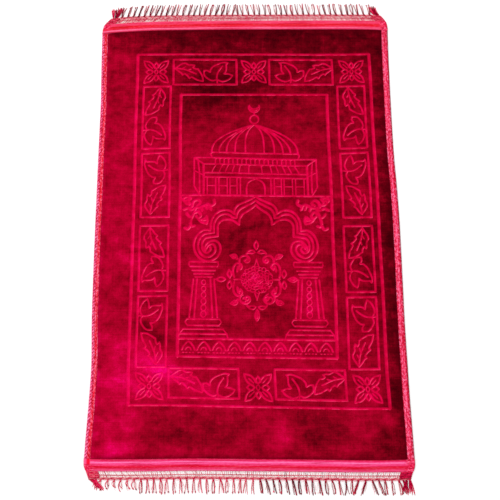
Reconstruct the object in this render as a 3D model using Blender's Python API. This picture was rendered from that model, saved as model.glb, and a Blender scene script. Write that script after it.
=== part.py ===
"""Velvet prayer rug lying flat: pressed pile cloth, side bindings, end headings with net, and fringes.

Metres, +Z up. X runs across the rug, Y along it towards its far end; the floor is z = 0.
"""
import math

import bmesh
import bpy
import numpy as np
from mathutils import Vector
from mathutils.geometry import delaunay_2d_cdt

# ---------------------------------------------------------------- driving sizes
GAP = 0.0003            # clearance between pieces that touch

CLOTH_LOW = 0.0013      # underside of the bare cloth margin, over the trims' lower legs
CLOTH_TOP = 0.0029      # top of the bare cloth margin
PILE_TOP = 0.0060       # top of the pile
PILE_ROUND = 0.0012     # rounding at the pile's rim

LEG = 0.0010            # thickness of a trim's lower leg
TRIM_LOW = CLOTH_TOP + GAP
TRIM_TOP = 0.0045       # top of a trim's raised ribs
BINDING_WIDTHS = {"left": 0.0165, "right": 0.0185}
BINDING_WALL = 0.0015   # from the rug's side edge to the fold that holds the cloth
BAND_WIDTH = 0.0295
BAND_WALL = 0.0060      # from the band's outer edge to the fold that holds the cloth
NET_WIDTH = 0.0145
NET_THICK = 0.0012
BLOCK_THICK = 0.0028    # dense block at each end of the net
BLOCK_WIDTH = 0.0290
BLOCK_SLOPE = 0.0020    # from the block down to the open net
KNOT_WIDTH = 0.0050
KNOT_THICK = 0.0018

# ribbed top of a binding: share of its width in from the rug's edge, depth below the rib tops
BINDING_RIBS = (
    (0.080, 0.0002),
    (0.485, 0.0),
    (0.585, 0.0006),
    (0.755, 0.0006),
    (0.845, 0.0),
)
# ribbed top of an end band, from its outer edge in: distance past the pile's end line,
# depth below the rib tops
BAND_RIBS = (
    (0.0285, 0.0014),
    (0.0250, 0.0003),
    (0.0210, 0.0007),
    (0.0165, 0.0007),
    (0.0138, 0.0),
    (0.0112, 0.0005),
    (0.0084, 0.0),
    (0.0045, 0.0004),
    (0.0003, 0.0004),
)
FOLD_ROUND = 0.0012     # rounding of a binding's fold
NET_STEP = 0.0015       # from the band down to the net

TASSELS = 46            # on each end
LEG_LENGTH = 0.0338
LEG_ROOT = 0.0025
LEG_TIP = 0.0015
TIP_THICK = 0.0014
LEG_SWING = 0.0040      # most that a tassel leans to a side
LEG_SPLAY = 0.0022      # how far a tassel's two legs open at their tips
LEG_SPREAD = 0.0021     # from a tassel's middle to each of its two legs

PATTERN_X = 0.0220      # middle of the pattern on the rug, which lies off centre
PATTERN_Y = 0.0220
JOG_LOW, JOG_TOP = -0.4100, -0.2000     # stretch of the pattern that lies a little to the left
JOG = 0.0024
GROOVE_HALF = 0.0030    # half the width of a pressed line
GROOVE_DEPTH = 0.0017
FINE_HALF = 0.0022      # pressed lines of the smaller ornaments
FINE_DEPTH = 0.0013
WELD = 0.0004           # pattern points closer than this are one point

FOLD_ROOM = 0.0012      # from the cloth's end to the inside of the band's fold
HALF_WIDTH = 0.4000     # nominal, for reading the end lines at a side
CORNER_TUCK = 0.0075    # the cloth margin's corners are cut back by this much
SIDE_STEPS = 13
END_STEPS = 10

# long edges of the rug: distance along it, left edge, right edge
EDGE_ROWS = (
    (-0.600, -0.4030, 0.4012),
    (-0.520, -0.4003, 0.3998),
    (-0.440, -0.3968, 0.3978),
    (-0.350, -0.3942, 0.3969),
    (-0.230, -0.3981, 0.3960),
    (-0.110, -0.3997, 0.3971),
    (0.080, -0.4005, 0.3970),
    (0.210, -0.4006, 0.3930),
    (0.350, -0.4005, 0.3926),
    (0.490, -0.4036, 0.3938),
    (0.600, -0.4053, 0.3962),
)

# pile's two end lines: distance across the rug, near line, far line
END_ROWS = (
    (-0.402, -0.5625, 0.5600),
    (-0.350, -0.5640, 0.5650),
    (-0.270, -0.5645, 0.5688),
    (-0.130, -0.5638, 0.5703),
    (0.010, -0.5660, 0.5700),
    (0.150, -0.5682, 0.5692),
    (0.290, -0.5705, 0.5680),
    (0.350, -0.5705, 0.5668),
    (0.402, -0.5700, 0.5640),
)

# how far the trims draw in at a corner: distance past the pile's end line, near left, near right, far left,
# far right
CORNER_ROWS = (
    (0.000, 0.0000, 0.0000, 0.0000, 0.0000),
    (0.018, 0.0012, 0.0015, 0.0025, 0.0012),
    (0.030, 0.0060, 0.0060, 0.0065, 0.0050),
    (0.044, 0.0115, 0.0110, 0.0200, 0.0150),
    (0.052, 0.0130, 0.0110, 0.0260, 0.0210),
)
CORNER_COLUMN = {("near", "left"): 1, ("near", "right"): 2, ("far", "left"): 3, ("far", "right"): 4}

# thick corner tufts of the fringes: end, side, distance from the strip's end, lean across per length, length,
# width
TUFT_ROWS = (
    ("near", "left", 0.0030, 0.95, 0.0260, 0.0048),
    ("near", "left", 0.0100, 0.60, 0.0230, 0.0042),
    ("near", "left", 0.0180, 0.30, 0.0200, 0.0034),
    ("near", "right", 0.0030, 0.10, 0.0345, 0.0046),
    ("near", "right", 0.0110, -0.12, 0.0330, 0.0044),
    ("near", "right", 0.0190, 0.18, 0.0310, 0.0036),
    ("far", "left", 0.0030, 0.05, 0.0250, 0.0044),
    ("far", "left", 0.0100, 0.12, 0.0270, 0.0050),
    ("far", "left", 0.0180, -0.10, 0.0250, 0.0034),
    ("far", "right", 0.0030, -0.45, 0.0220, 0.0034),
    ("far", "right", 0.0100, -0.35, 0.0300, 0.0052),
    ("far", "right", 0.0180, -0.70, 0.0290, 0.0040),
)
TUFT_ZONE = 0.0225      # length of strip that holds a corner's tufts

# crease left by folding the rug in half: distance across, distance along, depth
CREASE_ROWS = (
    (-0.378, -0.012, 0.0004),
    (-0.300, -0.028, 0.0008),
    (-0.200, -0.052, 0.0010),
    (-0.060, -0.046, 0.0006),
    (0.080, -0.030, 0.0006),
    (0.220, -0.020, 0.0008),
    (0.370, -0.014, 0.0005),
)
CREASE_HALF = 0.0180

# ---------------------------------------------------------------- pattern sizes
FRAME_HALF = 0.3212
FRAME_TOP, FRAME_LOW = 0.4724, -0.4670
FIELD_HALF = 0.1998
FIELD_TOP, FIELD_LOW = 0.3533, -0.3481
DIVIDER = 0.0688        # line under the domed hall
PLINTH = -0.3039        # line under the columns
BOX_IN, BOX_OUT = 0.2287, 0.3029
# boxes of the side borders: top, bottom
SIDE_BOXES = ((0.3777, 0.1998), (0.1864, 0.0104), (-0.0125, -0.1836), (-0.1969, -0.3738))
# boxes of the end borders: bottom, top
END_BOXES = ((0.3830, 0.4565), (-0.4484, -0.3765))
END_BOX_IN, END_BOX_OUT = 0.0452, 0.2195
END_BOX_SHIFT = -0.0024
FLOWER_X, FLOWER_Y = 0.2700, 0.4210
FLOWER_REACH = 0.0440
TOOTHED_LEAN = -116.6   # degrees from +X to a toothed leaf's own line
# leaves of the left borders: kind, stem x, stem y, turn in degrees, flip across the rug, flip along it
LEAF_ROWS = (
    ("toothed", -0.2580, 0.3740, 0, 1, 1),
    ("ivy", -0.3010, 0.2520, 0, 1, 1),
    ("ivy", -0.2350, 0.1380, 0, -1, -1),
    ("toothed", -0.2780, 0.0180, 0, -1, -1),
    ("toothed", -0.2770, -0.0180, 0, -1, 1),
    ("ivy", -0.2350, -0.1310, 0, -1, 1),
    ("ivy", -0.3010, -0.2460, 0, 1, -1),
    ("toothed", -0.2530, -0.3680, 0, 1, -1),
    ("toothed", -0.2180, 0.4310, 90, 1, 1),
    ("ivy", -0.1010, 0.3880, 90, 1, 1),
    ("toothed", -0.2160, -0.3960, 90, 1, 1),
    ("ivy", -0.1000, -0.4490, 90, 1, 1),
)

DOME_LOW, DOME_HIGH = 0.1853, 0.2670
# ribs of the dome: foot's distance from the middle, squareness of its curve
RIB_ROWS = ((0.0250, 4.3), (0.0527, 3.2), (0.0758, 2.5), (0.0962, 2.15), (0.1155, 2.45))
BALL_Y, BALL_RADIUS = 0.2820, 0.0118
MOON_Y, MOON_RADIUS = 0.3165, 0.0145
HALL_TOP, HALL_EAVES = 0.1710, 0.1535
HALL_HALF, FRONT_HALF = 0.1630, 0.1380
STOREY_HIGH, STOREY_LOW = 0.1294, 0.1178
WINDOW_POSTS = (0.0520, 0.0950)
DOOR_HALF, DOOR_TOP = 0.0240, 0.1150

LOBE_Y, ARCH_SHIFT = -0.0150, -0.0012
# the arch's three lines, outer to inner: lobe's middle, lobe's half width, lobe's height, crown's tip,
# crown's half width, crown's foot, height of the corner where the lobe meets the volute
ARCH_ROWS = (
    (0.0800, 0.0376, 0.0445, 0.0665, 0.0562, 0.0205, -0.0250),
    (0.0800, 0.0288, 0.0335, 0.0560, 0.0500, 0.0080, -0.0310),
    (0.0735, 0.0252, 0.0195, 0.0440, 0.0430, -0.0095, -0.0405),
)
VOLUTE_X, VOLUTE_Y = 0.1257, -0.0645
VOLUTE_WIDE, VOLUTE_TALL = 0.0359, 0.0415
EYE_DROP = 0.0130       # how far a volute's eye sinks below its middle
# how far each volute line is from the middle, by its turns from the top round and in
VOLUTE_ROWS = (
    (0.00, 1.00, 0.75, 0.49),
    (0.25, 0.97, 0.66, 0.37),
    (0.50, 1.00, 0.76, 0.47),
    (0.75, 0.95, 0.57, 0.16),
    (1.00, 0.42, 0.20, 0.05),
    (1.25, 0.15, 0.05, 0.00),
)
VOLUTE_TURNS = (1.10, 0.90, 0.60)
VOLUTE_STEPS = 11       # points in a turn of a volute

COLUMN_X, COLUMN_SHIFT = 0.1348, -0.0015
# capital and base lines: height, half length
CAPITAL_ROWS = ((-0.1080, 0.0370), (-0.1203, 0.0350), (-0.1306, 0.0300), (-0.1393, 0.0255), (-0.1472, 0.0220))
BASE_ROWS = ((-0.2548, 0.0412), (-0.2706, 0.0390), (-0.2799, 0.0505), (-0.2918, 0.0600))
# shaft lines: half distance at the top, half distance at the foot
SHAFT_ROWS = ((0.0266, 0.0355), (0.0172, 0.0231))
SHAFT_TOP, SHAFT_FOOT = -0.1530, -0.2500

MEDALLION_Y = -0.1530
HEAD_WIDE, HEAD_TALL = 0.0420, 0.0340
# buds of the medallion: turn in degrees, distance from its middle
BUD_ROWS = ((0, 0.0800), (90, 0.0770), (180, 0.0800), (270, 0.0770))
SCALLOPS = 10
SCALLOP_RADIUS = 0.0165


# ---------------------------------------------------------------- small helpers
def scatter(index, channel):
    """A fixed, even scatter of values from -1 to 1."""
    value = math.sin(index * 12.9898 + channel * 78.233) * 43758.5453
    return 2.0 * (value - math.floor(value)) - 1.0


def from_rows(rows, at, column):
    """Smooth curve through one column of a table of rows."""
    keys = [row[0] for row in rows]
    values = [row[column] for row in rows]
    at = min(max(at, keys[0]), keys[-1])
    k = 0
    while k < len(keys) - 2 and at > keys[k + 1]:
        k += 1
    part = (at - keys[k]) / (keys[k + 1] - keys[k])
    slopes = np.gradient(values, keys)
    run = keys[k + 1] - keys[k]
    a, b = values[k], values[k + 1]
    m0, m1 = slopes[k] * run, slopes[k + 1] * run
    h2, h3 = part * part, part ** 3
    return (2 * h3 - 3 * h2 + 1) * a + (h3 - 2 * h2 + part) * m0 + (3 * h2 - 2 * h3) * b + (h3 - h2) * m1


def side_edge(side, y):
    """X of the rug's outer long edge."""
    return from_rows(EDGE_ROWS, y, 1 if side == "left" else 2)


def pile_side(side, y):
    """X of the pile's long edge."""
    inward = 1.0 if side == "left" else -1.0
    return side_edge(side, y) + inward * BINDING_WIDTHS[side]


def pile_end(end, x):
    """Y of the pile's end line."""
    return from_rows(END_ROWS, x, 1 if end == "near" else 2)


def outward(end):
    return -1.0 if end == "near" else 1.0


def end_point(end, share, beyond):
    """Point of an end trim: share is 0 to 1 from left to right, beyond the distance past the end line."""
    left = side_edge("left", pile_end(end, -HALF_WIDTH))
    left += from_rows(CORNER_ROWS, beyond, CORNER_COLUMN[end, "left"])
    right = side_edge("right", pile_end(end, HALF_WIDTH))
    right -= from_rows(CORNER_ROWS, beyond, CORNER_COLUMN[end, "right"])
    x = left + (right - left) * share
    return x, pile_end(end, x) + outward(end) * beyond


def new_object(name, mesh, colour, roughness):
    mesh.name = name
    item = bpy.data.objects.new(name, mesh)
    bpy.context.scene.collection.objects.link(item)
    material = bpy.data.materials.new(name)
    material.use_nodes = True
    shader = material.node_tree.nodes["Principled BSDF"]
    shader.inputs["Base Color"].default_value = (*colour, 1.0)
    shader.inputs["Roughness"].default_value = roughness
    shader.inputs["Metallic"].default_value = 0.0
    mesh.materials.append(material)
    return item


def sealed_mesh(bm):
    """Mesh of a closed body with its faces pointing out."""
    bmesh.ops.recalc_face_normals(bm, faces=bm.faces)
    if bm.calc_volume(signed=True) < 0.0:
        bmesh.ops.reverse_faces(bm, faces=bm.faces)
    mesh = bpy.data.meshes.new("body")
    bm.to_mesh(mesh)
    bm.free()
    return mesh


def loft(rings):
    """Closed mesh through equal rings of points, capped at the first and last ring."""
    bm = bmesh.new()
    loops = [[bm.verts.new(point) for point in ring] for ring in rings]
    count = len(loops[0])
    for low, high in zip(loops, loops[1:]):
        for k in range(count):
            n = (k + 1) % count
            bm.faces.new((low[k], low[n], high[n], high[k]))
    bm.faces.new(list(reversed(loops[0])))
    bm.faces.new(loops[-1])
    return sealed_mesh(bm)


# ---------------------------------------------------------------- pattern strokes, in the pattern's own frame
def arc(cx, cy, radius, start, stop, steps):
    angles = np.radians(np.linspace(start, stop, steps + 1))
    return [(cx + radius * math.cos(a), cy + radius * math.sin(a)) for a in angles]


def rectangle(x0, y0, x1, y1):
    return [(x0, y0), (x1, y0), (x1, y1), (x0, y1), (x0, y0)]


def mirrored(points):
    return [(-x, y) for x, y in points]


def placed(points, x, y, turn, scale):
    """Ornament turned, sized and moved into its place."""
    c, s = math.cos(math.radians(turn)), math.sin(math.radians(turn))
    return [(x + scale * (c * px - s * py), y + scale * (s * px + c * py)) for px, py in points]


def frame_strokes():
    strokes = [rectangle(-FRAME_HALF, FRAME_LOW, FRAME_HALF, FRAME_TOP)]
    strokes.append(rectangle(-FIELD_HALF, FIELD_LOW, FIELD_HALF, FIELD_TOP))
    strokes.append([(-FIELD_HALF, DIVIDER), (FIELD_HALF, DIVIDER)])
    strokes.append([(-FIELD_HALF, PLINTH), (FIELD_HALF, PLINTH)])
    for side in (-1.0, 1.0):
        for top, low in SIDE_BOXES:
            strokes.append(rectangle(side * BOX_IN, low, side * BOX_OUT, top))
        for low, top in END_BOXES:
            near, far = END_BOX_SHIFT + side * END_BOX_IN, END_BOX_SHIFT + side * END_BOX_OUT
            strokes.append(rectangle(near, low, far, top))
    return strokes


def flower_strokes():
    """Four long outlined petals set crosswise, and a short one between each pair."""
    petal = [(0.12, 0.0), (0.40, 0.14), (0.75, 0.14), (1.0, 0.0), (0.75, -0.14), (0.40, -0.14), (0.12, 0.0)]
    inner = [(0.14, 0.0), (0.55, 0.0)]
    strokes = []
    for x in (-FLOWER_X, 0.0, FLOWER_X):
        for y in (-FLOWER_Y, FLOWER_Y):
            for k in range(4):
                strokes.append(placed(petal, x, y, 45 + 90 * k, FLOWER_REACH))
                strokes.append(placed(inner, x, y, 90 * k, FLOWER_REACH))
    return strokes


def toothed_leaf():
    """Leaf with a nearly straight toothed edge and a bulging one, drawn from its stem along +X."""
    straight = [(0.0, 0.0), (0.022, -0.005), (0.028, -0.0085), (0.031, -0.003), (0.050, -0.009)]
    straight += [(0.053, -0.003)]
    bulge = [(0.087, 0.0), (0.070, 0.019), (0.058, 0.026), (0.043, 0.024), (0.045, 0.0315), (0.030, 0.026)]
    bulge += [(0.019, 0.026), (0.008, 0.013), (0.0, 0.0)]
    vein = [(0.004, 0.003), (0.030, 0.0095), (0.060, 0.011)]
    return [placed(stroke, 0.0, 0.0, TOOTHED_LEAN, 1.0) for stroke in (straight + bulge, vein)]


def ivy_leaf():
    """Leaf of three pointed lobes, drawn from its stem along +X."""
    upper_lobe = [(0.010, 0.002), (0.008, 0.020), (0.018, 0.033), (0.0355, 0.0365), (0.031, 0.019)]
    blade = [(0.048, 0.011), (0.057, -0.006), (0.059, -0.030), (0.042, -0.026), (0.027, -0.018)]
    lower_lobe = [(0.0215, -0.042), (0.008, -0.028), (0.004, -0.012), (0.010, 0.002)]
    vein = [(0.0, 0.0), (0.020, 0.0), (0.035, -0.005), (0.050, -0.015)]
    return [upper_lobe + blade + lower_lobe, vein]


def leaf_strokes():
    """The borders' leaves: copies of the two kinds, turned and flipped by the table's rows."""
    kinds = {"toothed": toothed_leaf(), "ivy": ivy_leaf()}
    strokes = []
    for kind, x, y, turn, flip_x, flip_y in LEAF_ROWS:
        for stroke in kinds[kind]:
            flipped = [(flip_x * px, flip_y * py) for px, py in stroke]
            strokes.append(placed(flipped, x, y, turn, 1.0))
    return strokes + [mirrored(stroke) for stroke in strokes]


def dome_strokes():
    """Ribbed dome with a ball and a crescent, on a drum."""
    strokes = []
    for foot, power in RIB_ROWS:
        rib = []
        for t in (0.0, 0.35, 0.6, 0.8, 0.93, 1.0):
            rib.append((foot * (1.0 - t ** power), DOME_LOW + t * (DOME_HIGH - DOME_LOW)))
        strokes += [rib, mirrored(rib)]
    end = RIB_ROWS[-1][0] + 0.003
    strokes.append([(-end, DOME_LOW), (end, DOME_LOW)])
    strokes.append(arc(0, BALL_Y, BALL_RADIUS, -90, 270, 8))
    strokes.append(arc(0, MOON_Y, MOON_RADIUS, 200, 340, 4))
    return strokes


def hall_strokes():
    """Two-storeyed hall below the dome, with slanting end bays and a pointed door."""
    strokes = [[(-HALL_HALF, HALL_TOP), (HALL_HALF, HALL_TOP)]]
    for y in (HALL_EAVES, STOREY_HIGH, STOREY_LOW):
        strokes.append([(-FRONT_HALF, y), (FRONT_HALF, y)])
    for side in (-1.0, 1.0):
        strokes.append([(side * HALL_HALF, HALL_TOP), (side * FRONT_HALF, HALL_EAVES)])
        strokes.append([(side * FRONT_HALF, HALL_EAVES), (side * FRONT_HALF, DIVIDER)])
        strokes.append([(side * HALL_HALF, HALL_TOP), (side * HALL_HALF, 0.092), (side * 0.147, DIVIDER)])
        for x in WINDOW_POSTS:
            strokes.append([(side * x, STOREY_LOW), (side * x, DIVIDER)])
    door = [(DOOR_HALF, DIVIDER), (DOOR_HALF, 0.092), (0.017, 0.106), (0.0, DOOR_TOP)]
    strokes += [door, mirrored(door)]
    return strokes


def ogee(tip, half, foot):
    """One side of an ogee: out from its foot, round, and up in a hollow to its tip."""
    rise = tip - foot
    shape = ((1.0, 0.0), (0.97, 0.25), (0.80, 0.50), (0.48, 0.68), (0.20, 0.84), (0.0, 1.0))
    return [(half * x, foot + rise * y) for x, y in shape]


def volute(k):
    """One line of a volute, from its top round and into its eye."""
    turns = VOLUTE_TURNS[k]
    points = []
    for n in range(math.ceil(VOLUTE_STEPS * turns) + 1):
        turn = min(turns, n / VOLUTE_STEPS)
        reach = from_rows(VOLUTE_ROWS, turn, k + 1)
        sink = EYE_DROP * min(1.0, max(0.0, (turn - 0.55) / 0.55))
        angle = math.radians(90 - 360 * turn)
        points.append((VOLUTE_X + VOLUTE_WIDE * reach * math.cos(angle),
                       VOLUTE_Y + VOLUTE_TALL * reach * math.sin(angle) - sink))
    return points


def arch_strokes():
    """Three parallel lines of a cusped arch that turn into volutes."""
    strokes = []
    for k, (lobe_x, wide, tall, tip, half, foot, corner_y) in enumerate(ARCH_ROWS):
        crown = ogee(tip, half, foot)
        lobe = [(x, LOBE_Y + (y - LOBE_Y) * tall / wide) for x, y in arc(lobe_x, LOBE_Y, wide, 132, 0, 7)]
        corner = (lobe_x + wide, corner_y)
        for stroke in (crown, [crown[0]] + lobe + [corner], [corner] + volute(k)[1:]):
            strokes += [stroke, mirrored(stroke)]
    return [[(x + ARCH_SHIFT, y) for x, y in stroke] for stroke in strokes]


def column_strokes():
    """Two columns, each with the lines of its capital, shaft and base."""
    strokes = []
    for middle in (COLUMN_SHIFT - COLUMN_X, COLUMN_SHIFT + COLUMN_X):
        for y, half in CAPITAL_ROWS + BASE_ROWS:
            strokes.append([(middle - half, y), (middle + half, y)])
        for top, foot in SHAFT_ROWS:
            for hand in (-1.0, 1.0):
                strokes.append([(middle + hand * top, SHAFT_TOP), (middle + hand * foot, SHAFT_FOOT)])
        strokes.append([(middle, SHAFT_TOP - 0.004), (middle, SHAFT_FOOT + 0.004)])
    return strokes


def medallion_strokes():
    """Wreath of scrolls and leaves round an oval head, with a bud at each end of its two axes."""
    outer = [(-0.058, 0.006), (-0.0605, 0.018), (-0.052, 0.041), (-0.043, 0.041), (-0.038, 0.034)]
    inner = [(-0.0445, 0.042), (-0.0435, 0.053), (-0.031, 0.0615), (-0.0185, 0.055), (-0.019, 0.047)]
    leaf = [(-0.050, 0.051), (-0.060, 0.0545), (-0.068, 0.062), (-0.0525, 0.0635), (-0.050, 0.051)]
    side_leaf = [(-0.069, 0.004), (-0.076, 0.014), (-0.071, 0.0245), (-0.066, 0.014), (-0.069, 0.004)]
    top_leaf = [(-0.026, 0.067), (-0.016, 0.074), (-0.003, 0.069)]
    strokes = []
    for rise in (-1.0, 1.0):
        for shape in (outer, inner, leaf, side_leaf, top_leaf):
            stroke = [(x, MEDALLION_Y + rise * y) for x, y in shape]
            strokes += [stroke, mirrored(stroke)]
    head = arc(0, 0, HEAD_WIDE, 0, 360, 16)
    strokes.append([(x, MEDALLION_Y + y * HEAD_TALL / HEAD_WIDE) for x, y in head])
    bud = [(0.0, 0.0), (0.012, 0.005), (0.024, 0.0), (0.012, -0.005), (0.0, 0.0)]
    for turn, reach in BUD_ROWS:
        x = reach * math.cos(math.radians(turn))
        y = MEDALLION_Y + reach * math.sin(math.radians(turn))
        strokes.append(placed(bud, x, y, turn, 1.0))
    return strokes


def spandrel_strokes():
    """Leafy scroll in each upper corner of the niche."""
    trunk = [(-0.158, 0.036), (-0.165, 0.015), (-0.171, 0.0), (-0.172, -0.013), (-0.178, -0.023)]
    trunk += [(-0.187, -0.019)]
    leaf = [(-0.174, 0.044), (-0.193, 0.058), (-0.184, 0.064), (-0.172, 0.060), (-0.174, 0.044)]
    curl = [(-0.168, 0.038), (-0.163, 0.053), (-0.152, 0.056), (-0.147, 0.048), (-0.155, 0.041)]
    sprig = [(-0.158, 0.036), (-0.143, 0.038), (-0.130, 0.044), (-0.117, 0.041), (-0.109, 0.047)]
    sprig += [(-0.111, 0.057)]
    low_leaf = [(-0.150, 0.003), (-0.130, 0.012), (-0.130, -0.007), (-0.150, 0.003)]
    strokes = []
    for stroke in (trunk, leaf, curl, sprig, low_leaf):
        strokes += [stroke, mirrored(stroke)]
    return strokes


def scallop_strokes():
    """Row of double arches between the plinth line and the field's lower line."""
    strokes = []
    pitch = (2 * FIELD_HALF - 0.016) / SCALLOPS
    foot = FIELD_LOW + 0.016
    for k in range(SCALLOPS):
        x = (k - (SCALLOPS - 1) / 2) * pitch
        strokes.append(placed(arc(0, 0, SCALLOP_RADIUS, 0, 180, 6), x, foot, 0, 1.0))
        strokes.append(placed(arc(0, 0, 0.42 * SCALLOP_RADIUS, 0, 180, 4), x, foot, 0, 1.0))
    return strokes


def lay(u, v):
    """Pattern point to its place on the rug, with the rug's slight skew and waves."""
    x = PATTERN_X - 0.0009 + u - 0.0072 * v - 0.0074 * u * v + 0.0007 * math.sin(19.0 * v)
    if JOG_LOW < v < JOG_TOP:
        x -= JOG
    y = PATTERN_Y + v - 0.0150 * u + 0.0164 * u * v + 0.0008 * math.sin(17.0 * u)
    y += 0.0070 * u * (1.0 - (v / 0.48) ** 4)
    y -= 0.0027 * math.sin(11.6 * u) * math.exp(-((v - 0.16) / 0.09) ** 2) + 0.0013 * math.sin(12.6 * u)
    return x, y


def pattern():
    """Every pressed line as rug points, half width and depth."""
    main = frame_strokes() + dome_strokes() + hall_strokes() + arch_strokes() + column_strokes()
    fine = flower_strokes() + leaf_strokes() + medallion_strokes() + spandrel_strokes() + scallop_strokes()
    strokes = []
    for group, half, depth in ((main, GROOVE_HALF, GROOVE_DEPTH), (fine, FINE_HALF, FINE_DEPTH)):
        for points in group:
            strokes.append((np.array([lay(u, v) for u, v in points]), half, depth))
    return strokes


# ---------------------------------------------------------------- pressed top of the pile
def shoulders(points, half):
    """Outline of a stroke: both shoulders and a point past each open end."""
    closed = np.allclose(points[0], points[-1])
    core = points[:-1] if closed else points
    count = len(core)
    left, right = [], []
    for k in range(count):
        before = core[(k - 1) % count] if closed or k else None
        after = core[(k + 1) % count] if closed or k < count - 1 else None
        arms = []
        if before is not None:
            arms.append((core[k] - before) / np.linalg.norm(core[k] - before))
        if after is not None:
            arms.append((after - core[k]) / np.linalg.norm(after - core[k]))
        way = sum(arms)
        if np.linalg.norm(way) < 0.3:
            way = arms[-1]
        way = way / np.linalg.norm(way)
        reach = half / max(0.6, float(np.dot(way, arms[0])))
        side = np.array((-way[1], way[0])) * reach
        left.append(core[k] + side)
        right.append(core[k] - side)
    if closed:
        return [left + left[:1], right + right[:1]]
    start = core[0] - (core[1] - core[0]) / np.linalg.norm(core[1] - core[0]) * half
    stop = core[-1] + (core[-1] - core[-2]) / np.linalg.norm(core[-1] - core[-2]) * half
    return [[start] + left + [stop] + right[::-1] + [start]]


def pressed_depth(at, strokes):
    """Depth of the pressed lines at many points: full on a line's middle, none past its shoulders."""
    depth = np.zeros(len(at))
    for points, half, full in strokes:
        low, high = points.min(axis=0) - half, points.max(axis=0) + half
        near = np.where(np.all((at >= low) & (at <= high), axis=1))[0]
        if not len(near):
            continue
        best = np.full(len(near), 1.0)
        for a, b in zip(points, points[1:]):
            along = b - a
            share = np.clip((at[near] - a) @ along / (along @ along), 0.0, 1.0)
            away = np.linalg.norm(at[near] - a - share[:, None] * along, axis=1)
            best = np.minimum(best, away)
        depth[near] = np.maximum(depth[near], full * np.clip(1.0 - best / half, 0.0, 1.0))
    return depth


def crease_depth(x, y):
    """Soft trough of the fold across the rug."""
    middle = from_rows(CREASE_ROWS, x, 1)
    share = max(0.0, 1.0 - abs(y - middle) / CREASE_HALF)
    return from_rows(CREASE_ROWS, x, 2) * share


def crease_lines():
    lines = []
    for shift in (-CREASE_HALF, 0.0, CREASE_HALF):
        lines.append([np.array((row[0] * 0.985, row[1] + shift)) for row in CREASE_ROWS])
    return lines


def pile_top(rim, strokes):
    """Triangles of the pile's top, inside its rim, with the pressed lines and the crease as edges."""
    points = [Vector(p) for p in rim]
    edges = [(k, (k + 1) % len(rim)) for k in range(len(rim))]
    lines = crease_lines()
    for stroke, half, _ in strokes:
        lines.append(list(stroke))
        lines += shoulders(stroke, half)
    for line in lines:
        first = len(points)
        points += [Vector((float(p[0]), float(p[1]))) for p in line]
        edges += [(first + k, first + k + 1) for k in range(len(line) - 1)]
    inside = [list(range(len(rim)))]
    spots, _, faces, _, _, _ = delaunay_2d_cdt(points, edges, inside, 1, WELD)
    at = np.array([(s.x, s.y) for s in spots])
    depth = pressed_depth(at, strokes)
    crease = np.array([crease_depth(x, y) for x, y in at])
    return at, PILE_TOP - depth - crease, faces


# ---------------------------------------------------------------- pieces
def corner_point(end, side):
    """Corner of the pile field."""
    x = pile_side(side, pile_end(end, -HALF_WIDTH if side == "left" else HALF_WIDTH))
    return x, pile_end(end, x)


def side_stations(side):
    """Distances along the rug where a long edge has its points."""
    low, high = corner_point("near", side)[1], corner_point("far", side)[1]
    return [low + (high - low) * k / SIDE_STEPS for k in range(SIDE_STEPS + 1)]


def end_shares(end):
    """Shares of an end's width where its trims have their points, the pile's corners among them."""
    left, right = end_point(end, 0.0, 0.0)[0], end_point(end, 1.0, 0.0)[0]
    corner = (corner_point(end, "left")[0] - left) / (right - left)
    block = BLOCK_WIDTH / (right - left)
    edge = block + BLOCK_SLOPE / (right - left)
    middle = [edge + (1 - 2 * edge) * k / END_STEPS for k in range(END_STEPS + 1)]
    far_corner = (corner_point(end, "right")[0] - left) / (right - left)
    return [0.0, corner, block] + middle + [1 - block, far_corner, 1.0]


def panel_loops():
    """Outlines of the panel, walked round once: pile field, pile rim and cloth margin."""
    field, rim, margin = [], [], []
    cloth_end = BAND_WIDTH - BAND_WALL - FOLD_ROOM

    def add(point, across, along, tuck):
        x, y = point
        cloth_side = BINDING_WIDTHS["left" if across < 0.0 else "right"] - BINDING_WALL - GAP
        field.append((x, y))
        rim.append((x - across * PILE_ROUND, y - along * PILE_ROUND))
        margin.append((x + across * (cloth_side - tuck), y + along * cloth_end))

    def add_end(end, start, shares):
        add(corner_point(end, start), -1.0 if start == "left" else 1.0, outward(end), CORNER_TUCK)
        for share in shares:
            add(end_point(end, share, 0.0), 0.0, outward(end), 0.0)

    def add_side(start, side, stations):
        across = -1.0 if side == "left" else 1.0
        add(corner_point(start, side), across, outward(start), CORNER_TUCK)
        for y in stations:
            add((pile_side(side, y), y), across, 0.0, 0.0)

    add_end("near", "left", end_shares("near")[2:-2])
    add_side("near", "right", side_stations("right")[1:-1])
    add_end("far", "right", end_shares("far")[-3:1:-1])
    add_side("far", "left", side_stations("left")[-2:0:-1])
    return field, rim, margin


def build_panel():
    field, rim, margin = panel_loops()
    at, height, faces = pile_top(rim, pattern())
    bm = bmesh.new()
    top = [bm.verts.new((x, y, z)) for (x, y), z in zip(at, height)]
    for face in faces:
        bm.faces.new([top[k] for k in face])
    loops = []
    for outline, z in (
        (field, 0.0),
        (field, CLOTH_LOW),
        (margin, CLOTH_LOW),
        (margin, CLOTH_TOP),
        (field, CLOTH_TOP),
        (field, PILE_TOP - PILE_ROUND),
    ):
        loops.append([bm.verts.new((x, y, z)) for x, y in outline])
    loops.append(top[:len(rim)])
    for low, high in zip(loops, loops[1:]):
        for k in range(len(low)):
            n = (k + 1) % len(low)
            bm.faces.new((low[k], low[n], high[n], high[k]))
    bm.faces.new(list(reversed(loops[0])))
    bmesh.ops.delete(bm, geom=[v for v in bm.verts if not v.link_faces], context="VERTS")
    return new_object("pile_panel", sealed_mesh(bm), (0.42, 0.004, 0.035), 0.85)


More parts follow.
